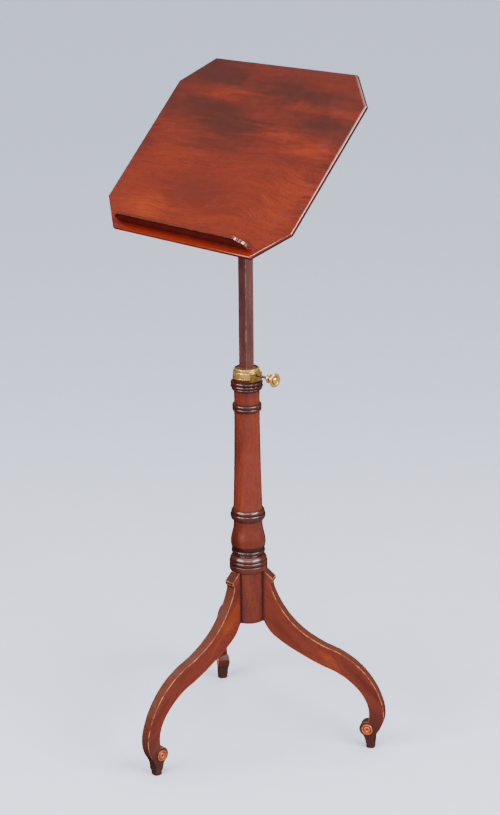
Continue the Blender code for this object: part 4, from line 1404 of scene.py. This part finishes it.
        # The plank's grain falls from the block to the foot at 45 degrees
        fall = Matrix.Rotation(math.radians(-45), 4, 'Y')
        face = self._half(self.scroll_place - self.roundel_mm * MM) + 0.0003
        places = []
        for lot, (name, bearing) in enumerate(self.bearings, 1):
            mesh = self._leg()
            store_plank(mesh, fall, lot)
            turn = AXIS_FRAME @ Matrix.Rotation(math.radians(bearing), 4, 'Z')
            finish_piece(f"leg_{name}_sawn", mesh, turn, Body.STAND, Slot.TURNED, self.wood,
                         f"leg_{name}")
            for sign in (1, -1):
                seat = Matrix.Translation((self.scroll_place, sign * face, self.scroll_height))
                places.append(turn @ seat @ Matrix.Rotation(-sign * math.pi / 2, 4, 'X'))
        roundel = self.workshop.turn(self._roundel(), self.boxwood, steps=48)
        mesh = self.workshop.place(roundel, places, self.boxwood)
        finish_piece("roundels", mesh, Matrix(), Body.STAND, Slot.BOXWOOD, self.boxwood,
                     *(f"roundel_{name}_{side}" for name, _ in self.bearings for side in "ab"))


@dataclass(frozen=True)
class WoodScrews:
    """Slotted iron wood screws, driven upwards with their heads down."""

    workshop: Workshop
    finish: Material
    head_mm: float = 3.0
    head_height_mm: float = 1.8
    shank_mm: float = 1.4
    point_mm: float = 3.0
    slot_mm: float = 0.8
    slot_depth_mm: float = 0.7

    def _screw(self, length: float) -> Mesh:
        """Make one screw.

        Args:
            length: Its length in millimetres.

        Returns:
            Its mesh, the head's face at zero and the point below.
        """
        head, shank = self.head_mm, self.shank_mm
        shape = Profile().to(
            (0, 0, 0.1), (head - 0.15, 0, 0.1), (head, -0.12, 0.2), (head, -0.3, 0.4),
            (shank, -self.head_height_mm, 0.5), (shank, self.point_mm - length, 0.3),
            (0.3, 0.1 - length, 0.3), (0, -length, 0.3))
        reach, half = (head + 1) * MM, self.slot_mm * MM / 2
        slot = block((-reach, -half, -self.slot_depth_mm * MM), (reach, half, MM))
        return combined(self.workshop.turn(shape, self.finish, steps=28),
                        [(slot, 'DIFFERENCE')])

    def drive(self, name: str, length_mm: float, frame: Matrix, spots: Iterable[Sequence[float]],
              body: Body, sets: Sequence[str]) -> None:
        """Drive like screws, which stand for three numbered solids of each set.

        Args:
            name: The piece's name.
            length_mm: Length of each screw.
            frame: The frame that the spots are in.
            spots: Where each head's face lies.
            body: The body that they move with.
            sets: The solids' names without their numbers.
        """
        down = Matrix.Rotation(math.pi, 4, 'X')
        places = [frame @ Matrix.Translation(spot) @ down for spot in spots]
        mesh = self.workshop.place(self._screw(length_mm), places, self.finish,
                                   spin=math.pi, seed=7)
        finish_piece(name, mesh, Matrix(), body, Slot.IRON, self.finish,
                     *(f"{start}_{index}" for start in sets for index in (1, 2, 3)))


@dataclass(frozen=True)
class BasePlate:
    """The iron plate under the block, with its three screws."""

    workshop: Workshop
    screws: WoodScrews
    finish: Material
    radius_mm: float = 25.0
    top_mm: float = 229.7
    thickness_mm: float = 2.0
    screw_circle: float = 0.0180
    screws_deg: Triple = (-30.0, 90.0, 210.0)
    screw_length_mm: float = 16.0

    def build(self) -> None:
        """Turn the plate and screw it on."""
        side, top, low = self.radius_mm, self.top_mm, self.top_mm - self.thickness_mm
        shape = Profile().to((0, top, 0.3), (side - 0.3, top, 0.3), (side, top - 0.3, 0.2),
                             (side, low + 0.4, 0.1), (side - 0.4, low), (0, low, 0.15))
        mesh = self.workshop.turn(shape, self.finish, steps=72)
        finish_piece("base_plate_turned", mesh, AXIS_FRAME, Body.STAND, Slot.IRON, self.finish,
                     "base_plate")
        spots = [(*spot, low * MM) for spot in ring(self.screw_circle, self.screws_deg)]
        self.screws.drive("plate_screws", self.screw_length_mm, AXIS_FRAME, spots, Body.STAND,
                          ["plate_screw"])


@dataclass(frozen=True)
class Collar:
    """The brass collar, with its sleeve and a square boss."""

    workshop: Workshop
    finish: Material
    foot_mm: float = 688.1
    top_mm: float = 705.5
    sleeve_mm: float = 16.0
    sleeve_foot_mm: float = 660.1
    square_half: float = 0.0098
    boss_half: float = 0.0125
    boss_reach: float = 0.0264
    boss_foot: float = 0.6842
    boss_top: float = 0.7003
    boss_arris: float = 0.0010
    # The column's top as the boss has to clear it: radius, lowest and highest
    wood_mm: Triple = (24.7, 659.0, 689.0)
    # Radius and depth of the pad's pocket and of the thumbscrew's hole
    pocket_mm: Point = (4.8, 16.6)
    hole_mm: Point = (2.8, 32.0)
    # Slivers shorter than this go
    sliver: float = 0.00001

    def _profile(self) -> Profile:
        """Return the collar's outside, with a stepped upper band and a swollen lower one."""
        top, foot, sleeve = self.top_mm, self.foot_mm, self.sleeve_mm
        # The recess round the pole in the top is painted dark, painted shade; the grooves between
        # the bands are painted dark for tarnish and shade
        shape = Profile().to((0, top - 1.2, 1.0), (18.6, top - 1.2, 1.0), (19.0, top - 0.2, 0.8),
                             (19.3, top, 0.1), (20.6, top))
        shape.curve(((21.7, top - 0.3), (22.2, top - 1.0)))
        shape.to((22.2, 701.2), (21.9, 700.7, 0.7), (21.9, 700.4, 0.9), (22.9, 700.2, 0.6))
        shape.curve(((23.7, 699.6), (24.1, 697.8), (24.3, 695.2), (24.1, 692.6), (23.7, 690.9)))
        shape.to((23.3, 690.4, 0.8), (23.5, 690.0, 0.9), (24.7, 689.9, 0.4))
        shape.curve(((25.0, 689.5), (25.0, 688.7), (24.7, foot)), 0.1, 3)
        return shape.to((sleeve, foot, 0.8), (sleeve, self.sleeve_foot_mm, 0.5),
                        (0, self.sleeve_foot_mm, 0.5))

    def _rod(self, radius: float, low: float, high: float, steps: int) -> Mesh:
        """Return a plain round tool round Z, in millimetres."""
        return self.workshop.turn(Profile().to((0, high), (radius, high), (radius, low),
                                               (0, low)), self.finish, steps)

    def _darken_boss(self, mesh: Mesh) -> None:
        """Leave dirt on the boss and under it.

        Args:
            mesh: The collar's mesh.
        """
        # The boss stands past the lower band at 25 mm, and hangs below the collar's foot
        for vertex, shade in zip(mesh.vertices, mesh.attributes["shade"].data):
            reach = vertex.co.xy.length
            below = vertex.co.z < (self.foot_mm - 0.2) * MM
            if vertex.co.x > self.sleeve_mm * MM and (
                    reach > 0.0251 or (reach > 0.0200 and below)):
                shade.value = 0.6

    def build(self) -> None:
        """Turn the collar, add the boss and cut the square hole."""
        body = self.workshop.turn(self._profile(), self.finish)
        boss = block((self.sleeve_mm * MM, -self.boss_half, self.boss_foot),
                     (self.boss_reach, self.boss_half, self.boss_top), self.boss_arris)
        side = combined(boss, [(self._rod(*self.wood_mm, 96), 'DIFFERENCE')])
        half = self.square_half
        # The square hole runs from below the sleeve to above the top
        tools = [block((-half, -half, 0.650), (half, half, 0.710))]
        for radius, depth in (self.pocket_mm, self.hole_mm):
            tools.append(self._rod(radius, 0, depth, 48))
            tools[-1].transform(Matrix.Translation((0, 0, CLAMP_Z)) @ Z_TO_X)
        mesh = combined(body, [(side, 'UNION'), *((tool, 'DIFFERENCE') for tool in tools)])
        work = bmesh.new()
        work.from_mesh(mesh)
        bmesh.ops.remove_doubles(work, verts=work.verts, dist=self.sliver)
        bmesh.ops.dissolve_degenerate(work, edges=work.edges, dist=self.sliver)
        bmesh.ops.holes_fill(work, edges=[edge for edge in work.edges if edge.is_boundary],
                             sides=3)
        settled(work, mesh)
        self._darken_boss(mesh)
        mesh.set_sharp_from_angle(angle=math.radians(32))
        finish_piece("collar_turned", mesh, AXIS_FRAME, Body.STAND, Slot.BRASS, self.finish,
                     "collar")


@dataclass(frozen=True)
class Thumbscrew:
    """The brass thumbscrew, level in the collar's boss."""

    workshop: Workshop
    finish: Material
    tip_mm: float = 13.6
    thread_mm: float = 2.5
    pitch_mm: float = 1.0
    end_mm: float = 74.5
    # From the knob's end to where the thread stops
    hub_mm: float = 23.9

    def _profile(self) -> Profile:
        """Return the profile, from the knob's button to the tip."""
        end, tip = self.end_mm, self.tip_mm
        shape = Profile().to((0, end))
        shape.curve(((2.4, end - 0.2), (4.3, end - 0.8), (5.6, end - 1.8), (6.0, end - 2.6)),
                    0.0, 4)
        shape.to((6.1, end - 3.1, 1.0), (6.9, end - 3.2, 1.0))
        shape.curve(((7.6, end - 2.6), (9.0, end - 2.2), (10.6, end - 2.3), (11.9, end - 2.9),
                     (12.4, end - 3.9), (12.2, end - 4.8), (11.4, end - 5.5)), 0.15, 4)
        shape.to((10.6, end - 5.8, 0.3))
        shape.curve(((8.4, end - 6.2), (6.4, end - 6.8), (5.0, end - 8.0)), 0.3, 4)
        shape.to((4.8, end - 9.2, 0.8)).bead((5.2, end - 9.5), (5.2, end - 12.4), 2.1)
        shape.to((4.9, end - 13.0, 0.9), (5.0, end - 14.6, 0.8))
        shape.bead((5.6, end - 15.0), (6.0, end - 20.2), 2.2, 0.0, 16)
        shape.to((5.4, end - 20.7, 0.8)).curve(((4.6, end - 21.6), (3.2, end - 23.2)), 0.3)
        return shape.to((2.4, end - 23.5, 0.8), (2.2, end - 23.7, 0.6), (2.2, tip + 0.6, 0.9),
                        (1.8, tip, 0.9), (0, tip, 0.9))

    def build(self) -> None:
        """Turn the thumbscrew and cut its thread."""
        body = self.workshop.turn(self._profile(), self.finish, steps=72)
        start = self.tip_mm + 0.6
        ridge = self.workshop.thread(self.thread_mm - RIDGE * self.pitch_mm, start,
                                     self.end_mm - self.hub_mm - start, self.pitch_mm,
                                     self.finish)
        store(ridge, "shade", [0.85] * len(ridge.vertices))
        finish_piece("thumbscrew_turned", joined([body, ridge]), CLAMP_FRAME, Body.THUMBSCREW,
                     Slot.BRASS, self.finish, "thumbscrew")


@dataclass(frozen=True)
class Pole:
    """The square pole, with its round head."""

    finish: Material
    half: float = 0.0095
    foot: float = 0.547
    arris: float = 0.0010
    head_steps: int = 32

    def build(self) -> None:
        """Plane and dress the pole."""
        turns = [180 * index / self.head_steps for index in range(self.head_steps + 1)]
        outline = [(across, PIVOT_Z + up) for across, up in ring(self.half, turns)]
        outline += [(-self.half, self.foot), (self.half, self.foot)]
        mesh = weighted(sawn(outline, lambda across: self.half, self.arris))
        store_plank(mesh, Z_TO_X, 7)
        finish_piece("pole_planed", mesh, AXIS_FRAME @ X_TO_Y, Body.POLE, Slot.DARK,
                     self.finish, "pole")


@dataclass(frozen=True)
class Board:
    """The canted board with a thumb-moulded edge, its ledge and its bearers."""

    workshop: Workshop
    screws: WoodScrews
    wood: Material
    dark: Material
    half_width: float = 0.2248
    half_depth: float = 0.1808
    cant: float = 0.0560
    face: float = 0.0410
    underside: float = 0.0330
    moulding: float = 0.0034
    # The moulding's fillet: its height, and how far its thumb runs in
    fillet: float = 0.0009
    thumb: float = 0.0021
    ledge_length: float = 0.3200
    ledge_height: float = 0.0280
    ledge_half: float = 0.0030
    ledge_place: float = -0.1653
    ledge_end: float = 0.0170
    ledge_arris: float = 0.0010
    # The ledge's right end as an ogee, in shares of its run and its height, with its corners
    ogee: tuple[Point, ...] = (
        (1.00, 0.00), (1.00, 0.20), (0.94, 0.42), (0.82, 0.60), (0.62, 0.73), (0.34, 0.76),
        (0.22, 0.82), (0.14, 0.92), (0.00, 1.00))
    ogee_corners: tuple[int, ...] = (0, 5, 8)
    bearer_middle: float = 0.01705
    bearer_half: float = 0.00725
    bearer_length: float = 0.2500
    bearer_top: float = 0.0327
    bearer_foot: float = 0.0177
    bearer_arris: float = 0.0010
    ear: float = 0.0215
    ledge_screws: Triple = (-0.115, 0.0, 0.115)
    bearer_screws: Triple = (-0.095, 0.045, 0.095)

    def _octagon(self, inset: float, height: float) -> list[Triple]:
        """Return the board's outline.

        Args:
            inset: How far it is moved inwards.
            height: Its height over the pivot.

        Returns:
            Its eight corners.
        """
        wide, deep = self.half_width - inset, self.half_depth - inset
        cut = self.cant - inset * (2 - math.sqrt(2))
        right = [(wide - cut, -deep), (wide, cut - deep), (wide, deep - cut), (wide - cut, deep)]
        left = [(-across, up) for across, up in reversed(right)]
        return [(across, up, height) for across, up in right + left]

    def _board(self) -> Mesh:
        """Return the board: a thumb moulding with a fillet round a flat face."""
        step = self.face - self.fillet
        low = self.face - self.moulding
        # Inset and height of each ring, the thumb's eight steps in the middle
        rings = [(0.0006, self.underside), (0.00015, self.underside + 0.0002),
                 (0.0, self.underside + 0.0006)]
        rings += [(self.thumb - across, low + up * (step - low) / self.thumb)
                  for across, up in ring(self.thumb, [11.25 * index for index in range(9)])]
        rings += [(0.0028, step - 0.0001), (0.0029, step), (0.0029, self.face - 0.0002),
                  (0.0031, self.face)]
        work = bmesh.new()
        worn, dirt = (work.loops.layers.float.new(name) for name in ("arris", "shade"))
        loops = [[work.verts.new(place) for place in self._octagon(*row)] for row in rings]
        work.faces.new(list(reversed(loops[0])))
        for number, face in enumerate(skin(work, loops)):
            band = number // 8
            for corner in face.loops:
                corner[worn] = 0.9 if band in (7, 8, 14) else 0.0
                # The square edge under the moulding is painted dark: painted shade, as it faces
                # down away from the lights
                corner[dirt] = 0.8 if band < 3 else 0.0
        work.faces.new(loops[-1])
        made = settled(work)
        made.set_sharp_from_angle(angle=math.radians(28))
        return made

    def _ledge(self) -> Mesh:
        """Return the ledge, its ends shaped in an ogee."""
        flat = self.ledge_length / 2 - self.ledge_end
        right = [([(flat + run * self.ledge_end, up * self.ledge_height)],
                  number in self.ogee_corners) for number, (run, up) in enumerate(self.ogee)]
        left = [([(-across, up)], corner) for [(across, up)], corner in reversed(right)]
        return weighted(sawn(smooth_outline(right + left, 5), lambda across: self.ledge_half,
                             self.ledge_arris, 55.0))

    def _bearer(self) -> Mesh:
        """Return a bearer, in the XZ plane as if the slope ran along X."""
        half, top, foot = self.bearer_length / 2, self.bearer_top, self.bearer_foot
        end = [(half, top), (half, top - 0.0070), (half - 0.0160, foot),
               (self.ear + 0.0085, foot)]
        start = [(-across, up) for across, up in reversed(end)]
        return weighted(sawn(end + ring(self.ear, range(0, -181, -6)) + start,
                             lambda across: self.bearer_half, self.bearer_arris, 60.0))

    def build(self) -> None:
        """Build and dress the board and what is fixed to it."""
        board = self._board()
        store_plank(board)
        finish_piece("board_moulded", board, BOARD_FRAME, Body.BOARD, Slot.POLISHED, self.wood,
                     "board")
        ledge = self._ledge()
        store_plank(ledge, lot=3)
        # The front faces down, away from the lights: painted shade makes it almost black
        paint(ledge, "shade", lambda normal, place: float(normal.y < -0.7))
        seat = Matrix.Translation((0, self.ledge_place, self.face + 0.0003))
        finish_piece("ledge_shaped", ledge, BOARD_FRAME @ seat, Body.BOARD, Slot.POLISHED,
                     self.wood, "ledge")
        for name, sign in (("left", -1), ("right", 1)):
            bearer = self._bearer()
            store_plank(bearer, lot=5 + sign)
            place = BOARD_FRAME @ Matrix.Translation((sign * self.bearer_middle, 0, 0)) @ X_TO_Y
            finish_piece(f"bearer_{name}_shaped", bearer, place, Body.BOARD, Slot.DARK,
                         self.dark, f"bearer_{name}")
        spots: list[Triple] = [(across, self.ledge_place, self.underside)
                               for across in self.ledge_screws]
        self.screws.drive("ledge_screws", 18.0, BOARD_FRAME, spots, Body.BOARD,
                          ["ledge_screw"])
        spots = [(sign * self.bearer_middle, along, self.bearer_foot)
                 for sign in (-1, 1) for along in self.bearer_screws]
        self.screws.drive("bearer_screws", 20.0, BOARD_FRAME, spots, Body.BOARD,
                          ["bearer_screw_left", "bearer_screw_right"])


@dataclass(frozen=True)
class CrossBolt:
    """The steel cross bolt, with its brass washer and wing nut."""

    workshop: Workshop
    steel: Material
    brass: Material
    seat_mm: float = 24.6
    bolt_mm: float = 3.9
    head_mm: float = 9.2
    head_height_mm: float = 4.5
    end_mm: float = 39.0
    # The threaded end: its core's radius, its ridge's radius and pitch
    core_mm: float = 3.55
    ridge_mm: float = 3.45
    pitch_mm: float = 1.25
    washer_mm: float = 10.0
    washer_top_mm: float = 26.2
    nut_foot_mm: float = 26.5
    nut_length_mm: float = 8.5
    wing_deg: float = 35.0
    wing_half: float = 0.0016
    wing_arris: float = 0.0010

    def _bolt(self) -> Mesh:
        """Return the bolt, its domed head down."""
        seat, end, side, core = -self.seat_mm, self.end_mm, self.bolt_mm, self.core_mm
        brim = seat - 0.25
        rise = (self.head_height_mm - 0.25) / self.head_mm
        shape = Profile().to(
            (0, end, 0.1), (3.0, end, 0.1), (core, end - 0.7, 0.2), (core, 24.0, 0.4),
            (side, 23.6, 0.2), (side, seat, 0.4), (self.head_mm - 0.2, seat, 0.3),
            (self.head_mm, brim, 0.1))
        shape.to(*((across, brim - up * rise) for across, up in
                   ring(self.head_mm, [11.25 * index for index in range(1, 9)])))
        ridge = self.workshop.thread(self.ridge_mm, 24.2, end - 25.2, self.pitch_mm, self.steel)
        return joined([self.workshop.turn(shape, self.steel, steps=64), ridge])

    def _washer(self) -> Mesh:
        """Return the washer."""
        inner, outer = self.bolt_mm + 0.3, self.washer_mm
        low, high = self.seat_mm, self.washer_top_mm
        return self.workshop.turn(Profile().to(
            (inner, low, 0.3), (inner, high, 0.3), (outer - 0.3, high), (outer, high - 0.3),
            (outer, low + 0.3, 0.1), (outer - 0.3, low, 0.2), (inner, low, 0.3)),
            self.brass, steps=64)

    def _wing(self, turn_deg: float) -> Mesh:
        """Make one wing of the nut.

        Args:
            turn_deg: How far it is turned about the bolt.

        Returns:
            Its mesh.
        """
        foot, top = self.nut_foot_mm, self.nut_foot_mm + self.nut_length_mm
        outline = [(4.6, foot + 2.2), (7.4, foot + 2.0)]
        outline += [(14.0 + across, top + 1.0 + up)
                    for across, up in ring(5.0, range(-40, 131, 10))]
        outline += [(7.6, top - 1.0), (4.6, top - 1.4)]
        mesh = weighted(sawn([(x * MM, z * MM) for x, z in outline],
                             lambda across: self.wing_half, self.wing_arris))
        mesh.transform(Matrix.Rotation(math.radians(turn_deg), 4, 'Z'))
        return mesh

    def _nut(self) -> Mesh:
        """Return the wing nut: a tapered hub and two wings."""
        foot, top = self.nut_foot_mm, self.nut_foot_mm + self.nut_length_mm
        inner = self.bolt_mm + 0.3
        shape = Profile().to((inner, foot, 0.5), (inner, top, 0.5), (5.0, top, 0.1))
        shape.curve(((5.6, top - 0.3), (6.0, top - 1.0)))
        shape.to((6.9, foot + 0.6, 0.1), (6.7, foot, 0.2), (inner, foot, 0.5))
        hub = self.workshop.turn(shape, self.brass, steps=64)
        return joined([hub, self._wing(self.wing_deg), self._wing(self.wing_deg + 180)])

    def build(self) -> None:
        """Turn and dress the bolt, the washer and the wing nut."""
        finish_piece("pivot_bolt_turned", self._bolt(), BOLT_FRAME, Body.BOARD, Slot.STEEL,
                     self.steel, "pivot_bolt")
        finish_piece("nut_washer_turned", self._washer(), BOLT_FRAME, Body.WASHER, Slot.BRASS,
                     self.brass, "nut_washer")
        finish_piece("wing_nut_turned", self._nut(), BOLT_FRAME, Body.WING_NUT, Slot.BRASS,
                     self.brass, "wing_nut")


@dataclass(frozen=True)
class Softbox:
    """A soft light: bearing from the camera's side, elevation, distance, size and watts."""

    bearing_deg: float
    rise_deg: float
    distance: float
    width: float
    height: float
    power: float


@dataclass(frozen=True)
class Studio:
    """The floor, the soft lights and the camera."""

    floor: Material
    sensor_mm: float = 36.0
    # The photograph's focal length and its height, in pixels
    focal_px: float = 1800.26
    photo_px: float = 815.0
    azimuth_deg: float = 46.582
    pitch_deg: float = 17.828
    roll_deg: float = -0.539
    yaw_deg: float = 0.102
    distance: float = 3.0093
    height: float = 1.5991
    boxes: tuple[Softbox, ...] = (
        Softbox(-54.0, 26.0, 2.8, 2.1, 0.9, 122.0), Softbox(-3.0, 32.0, 2.8, 1.3, 0.5, 34.0),
        Softbox(52.0, 26.0, 2.8, 2.1, 0.9, 148.0))
    lit_height: float = 0.6
    ceiling: str = "e8ecf6"
    ceiling_strength: float = 5.2
    # Sine of the elevation where the lit ceiling starts, and where it is full
    ceiling_edge: Point = (0.72, 0.9)
    walls: str = "a29c9c"
    walls_strength: float = 0.6
    pale_strength: float = 1.2
    dark_strength: float = 0.1
    # Bearing of the middle of the pale side, from the camera's side
    pale_deg: float = 42.0
    seen: str = "dae6fc"
    seen_strength: float = 1.1
    floor_half: float = 60.0
    floor_z: float = -0.0002

    def _toward(self, bearing_deg: float = 0.0, rise_deg: float = 0.0) -> Vector:
        """Return a direction from the stand.

        Args:
            bearing_deg: Degrees from the camera's side, positive to its right.
            rise_deg: Degrees above the horizon.

        Returns:
            The direction, one long.
        """
        turn, rise = math.radians(self.azimuth_deg + bearing_deg), math.radians(rise_deg)
        return Vector((math.sin(turn) * math.cos(rise), -math.cos(turn) * math.cos(rise),
                       math.sin(rise)))

    def _camera(self) -> None:
        """Set the camera at the photograph's viewing angle."""
        data = bpy.data.cameras.new("camera")
        data.sensor_width = self.sensor_mm
        data.lens = self.focal_px * self.sensor_mm / self.photo_px
        camera = linked("camera", data)
        yaw, pitch = -self.yaw_deg, self.pitch_deg
        axes = Matrix((self._toward(yaw + 90), self._toward(yaw, pitch + 90),
                       self._toward(yaw, pitch))).transposed()
        level = (axes @ Matrix.Rotation(math.radians(self.roll_deg), 3, 'Z')).to_4x4()
        level.translation = self._toward() * self.distance + Vector((0, AXIS_Y, self.height))
        camera.matrix_world = level
        bpy.context.scene.camera = camera

    def _light(self, name: str, box: Softbox) -> None:
        """Hang one softbox that faces the stand.

        Args:
            name: The light's name.
            box: The softbox.
        """
        data = bpy.data.lights.new(name, 'AREA')
        data.shape = 'RECTANGLE'
        data.size, data.size_y, data.energy = box.width, box.height, box.power
        light = linked(name, data)
        back = self._toward(box.bearing_deg, box.rise_deg)
        light.location = Vector((0, AXIS_Y, self.lit_height)) + back * box.distance
        light.rotation_euler = back.to_track_quat('Z', 'Y').to_euler()

    def _room(self) -> None:
        """Surround the stand with dim walls and a broad lit ceiling."""
        world = bpy.data.worlds.new("studio")
        world.use_nodes = True
        nodes = world.node_tree.nodes
        graph = Graph(world.node_tree)
        heading = graph.add_node("ShaderNodeTexCoord").outputs["Generated"]
        rise = graph.axis(heading, "Z")
        lit = graph.span(rise, *self.ceiling_edge, 0.0, 1.0, smooth=True)
        # Low down, the room is pale towards the camera and its right, dark to the left
        side = graph.vector('DOT_PRODUCT', heading, self._toward(self.pale_deg))
        low = graph.span(side, -0.15, 0.15, self.dark_strength, self.pale_strength, smooth=True)
        walls = graph.span(rise, 0.05, 0.35, low, self.walls_strength, smooth=True)
        graph.fill(nodes["Background"], {
            "Color": graph.mix(lit, self.walls, self.ceiling),
            "Strength": graph.span(lit, 0.0, 1.0, walls, self.ceiling_strength)})
        # Past the floor's edge a low camera sees the backdrop's own pale tone
        backdrop = graph.add_node("ShaderNodeBackground", {
            "Color": linear(self.seen), "Strength": self.seen_strength})
        direct = graph.add_node("ShaderNodeLightPath").outputs["Is Camera Ray"]
        chosen = graph.add_node("ShaderNodeMixShader", {
            0: direct, 1: nodes["Background"].outputs[0], 2: backdrop.outputs[0]})
        graph.fill(nodes["World Output"], {"Surface": chosen.outputs[0]})
        bpy.context.scene.world = world

    def build(self) -> None:
        """Build the floor, the lights, the surroundings and the camera."""
        mesh = bpy.data.meshes.new("floor")
        far = self.floor_half
        mesh.from_pydata([(-far, -far, 0), (far, -far, 0), (far, far, 0), (-far, far, 0)], [],
                         [(0, 1, 2, 3)])
        mesh.materials.append(self.floor)
        floor = linked("floor", mesh)
        floor.location = (0, 0, self.floor_z)
        # The polish mirrors the dark studio, not the pale cloth
        floor.visible_glossy = False
        for number, box in enumerate(self.boxes, 1):
            self._light(f"softbox_{number}", box)
        self._room()
        self._camera()


def dress_solids(frame: dict[str, Any], brass: Material) -> None:
    """Give the solids that are kept, the collar's pins and the pad, their brass.

    Args:
        brass: The finish.
    """
    for name in ("collar_pin_back", "collar_pin_left", "pressure_pad"):
        materials = frame["nodes"][name].data.materials
        materials.clear()
        materials.append(brass)
        LOG.info("%s: the packed solid, in %s", name, brass.name)


def main() -> None:
    """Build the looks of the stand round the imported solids."""
    logging.basicConfig(level=logging.INFO, format="%(message)s")
    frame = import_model()
    finishes = Finishes()
    workshop = Workshop()
    screws = WoodScrews(workshop, finishes.iron)
    Column(workshop, finishes.turned).build()
    Legs(workshop, finishes.sawn, finishes.boxwood).build()
    BasePlate(workshop, screws, finishes.iron).build()
    Collar(workshop, finishes.brass).build()
    Thumbscrew(workshop, finishes.brass).build()
    Pole(finishes.dark).build()
    Board(workshop, screws, finishes.board, finishes.dark).build()
    CrossBolt(workshop, finishes.steel, finishes.brass).build()
    dress_solids(frame, finishes.brass)
    Studio(finishes.backdrop).build()


if __name__ == "__main__":
    main()
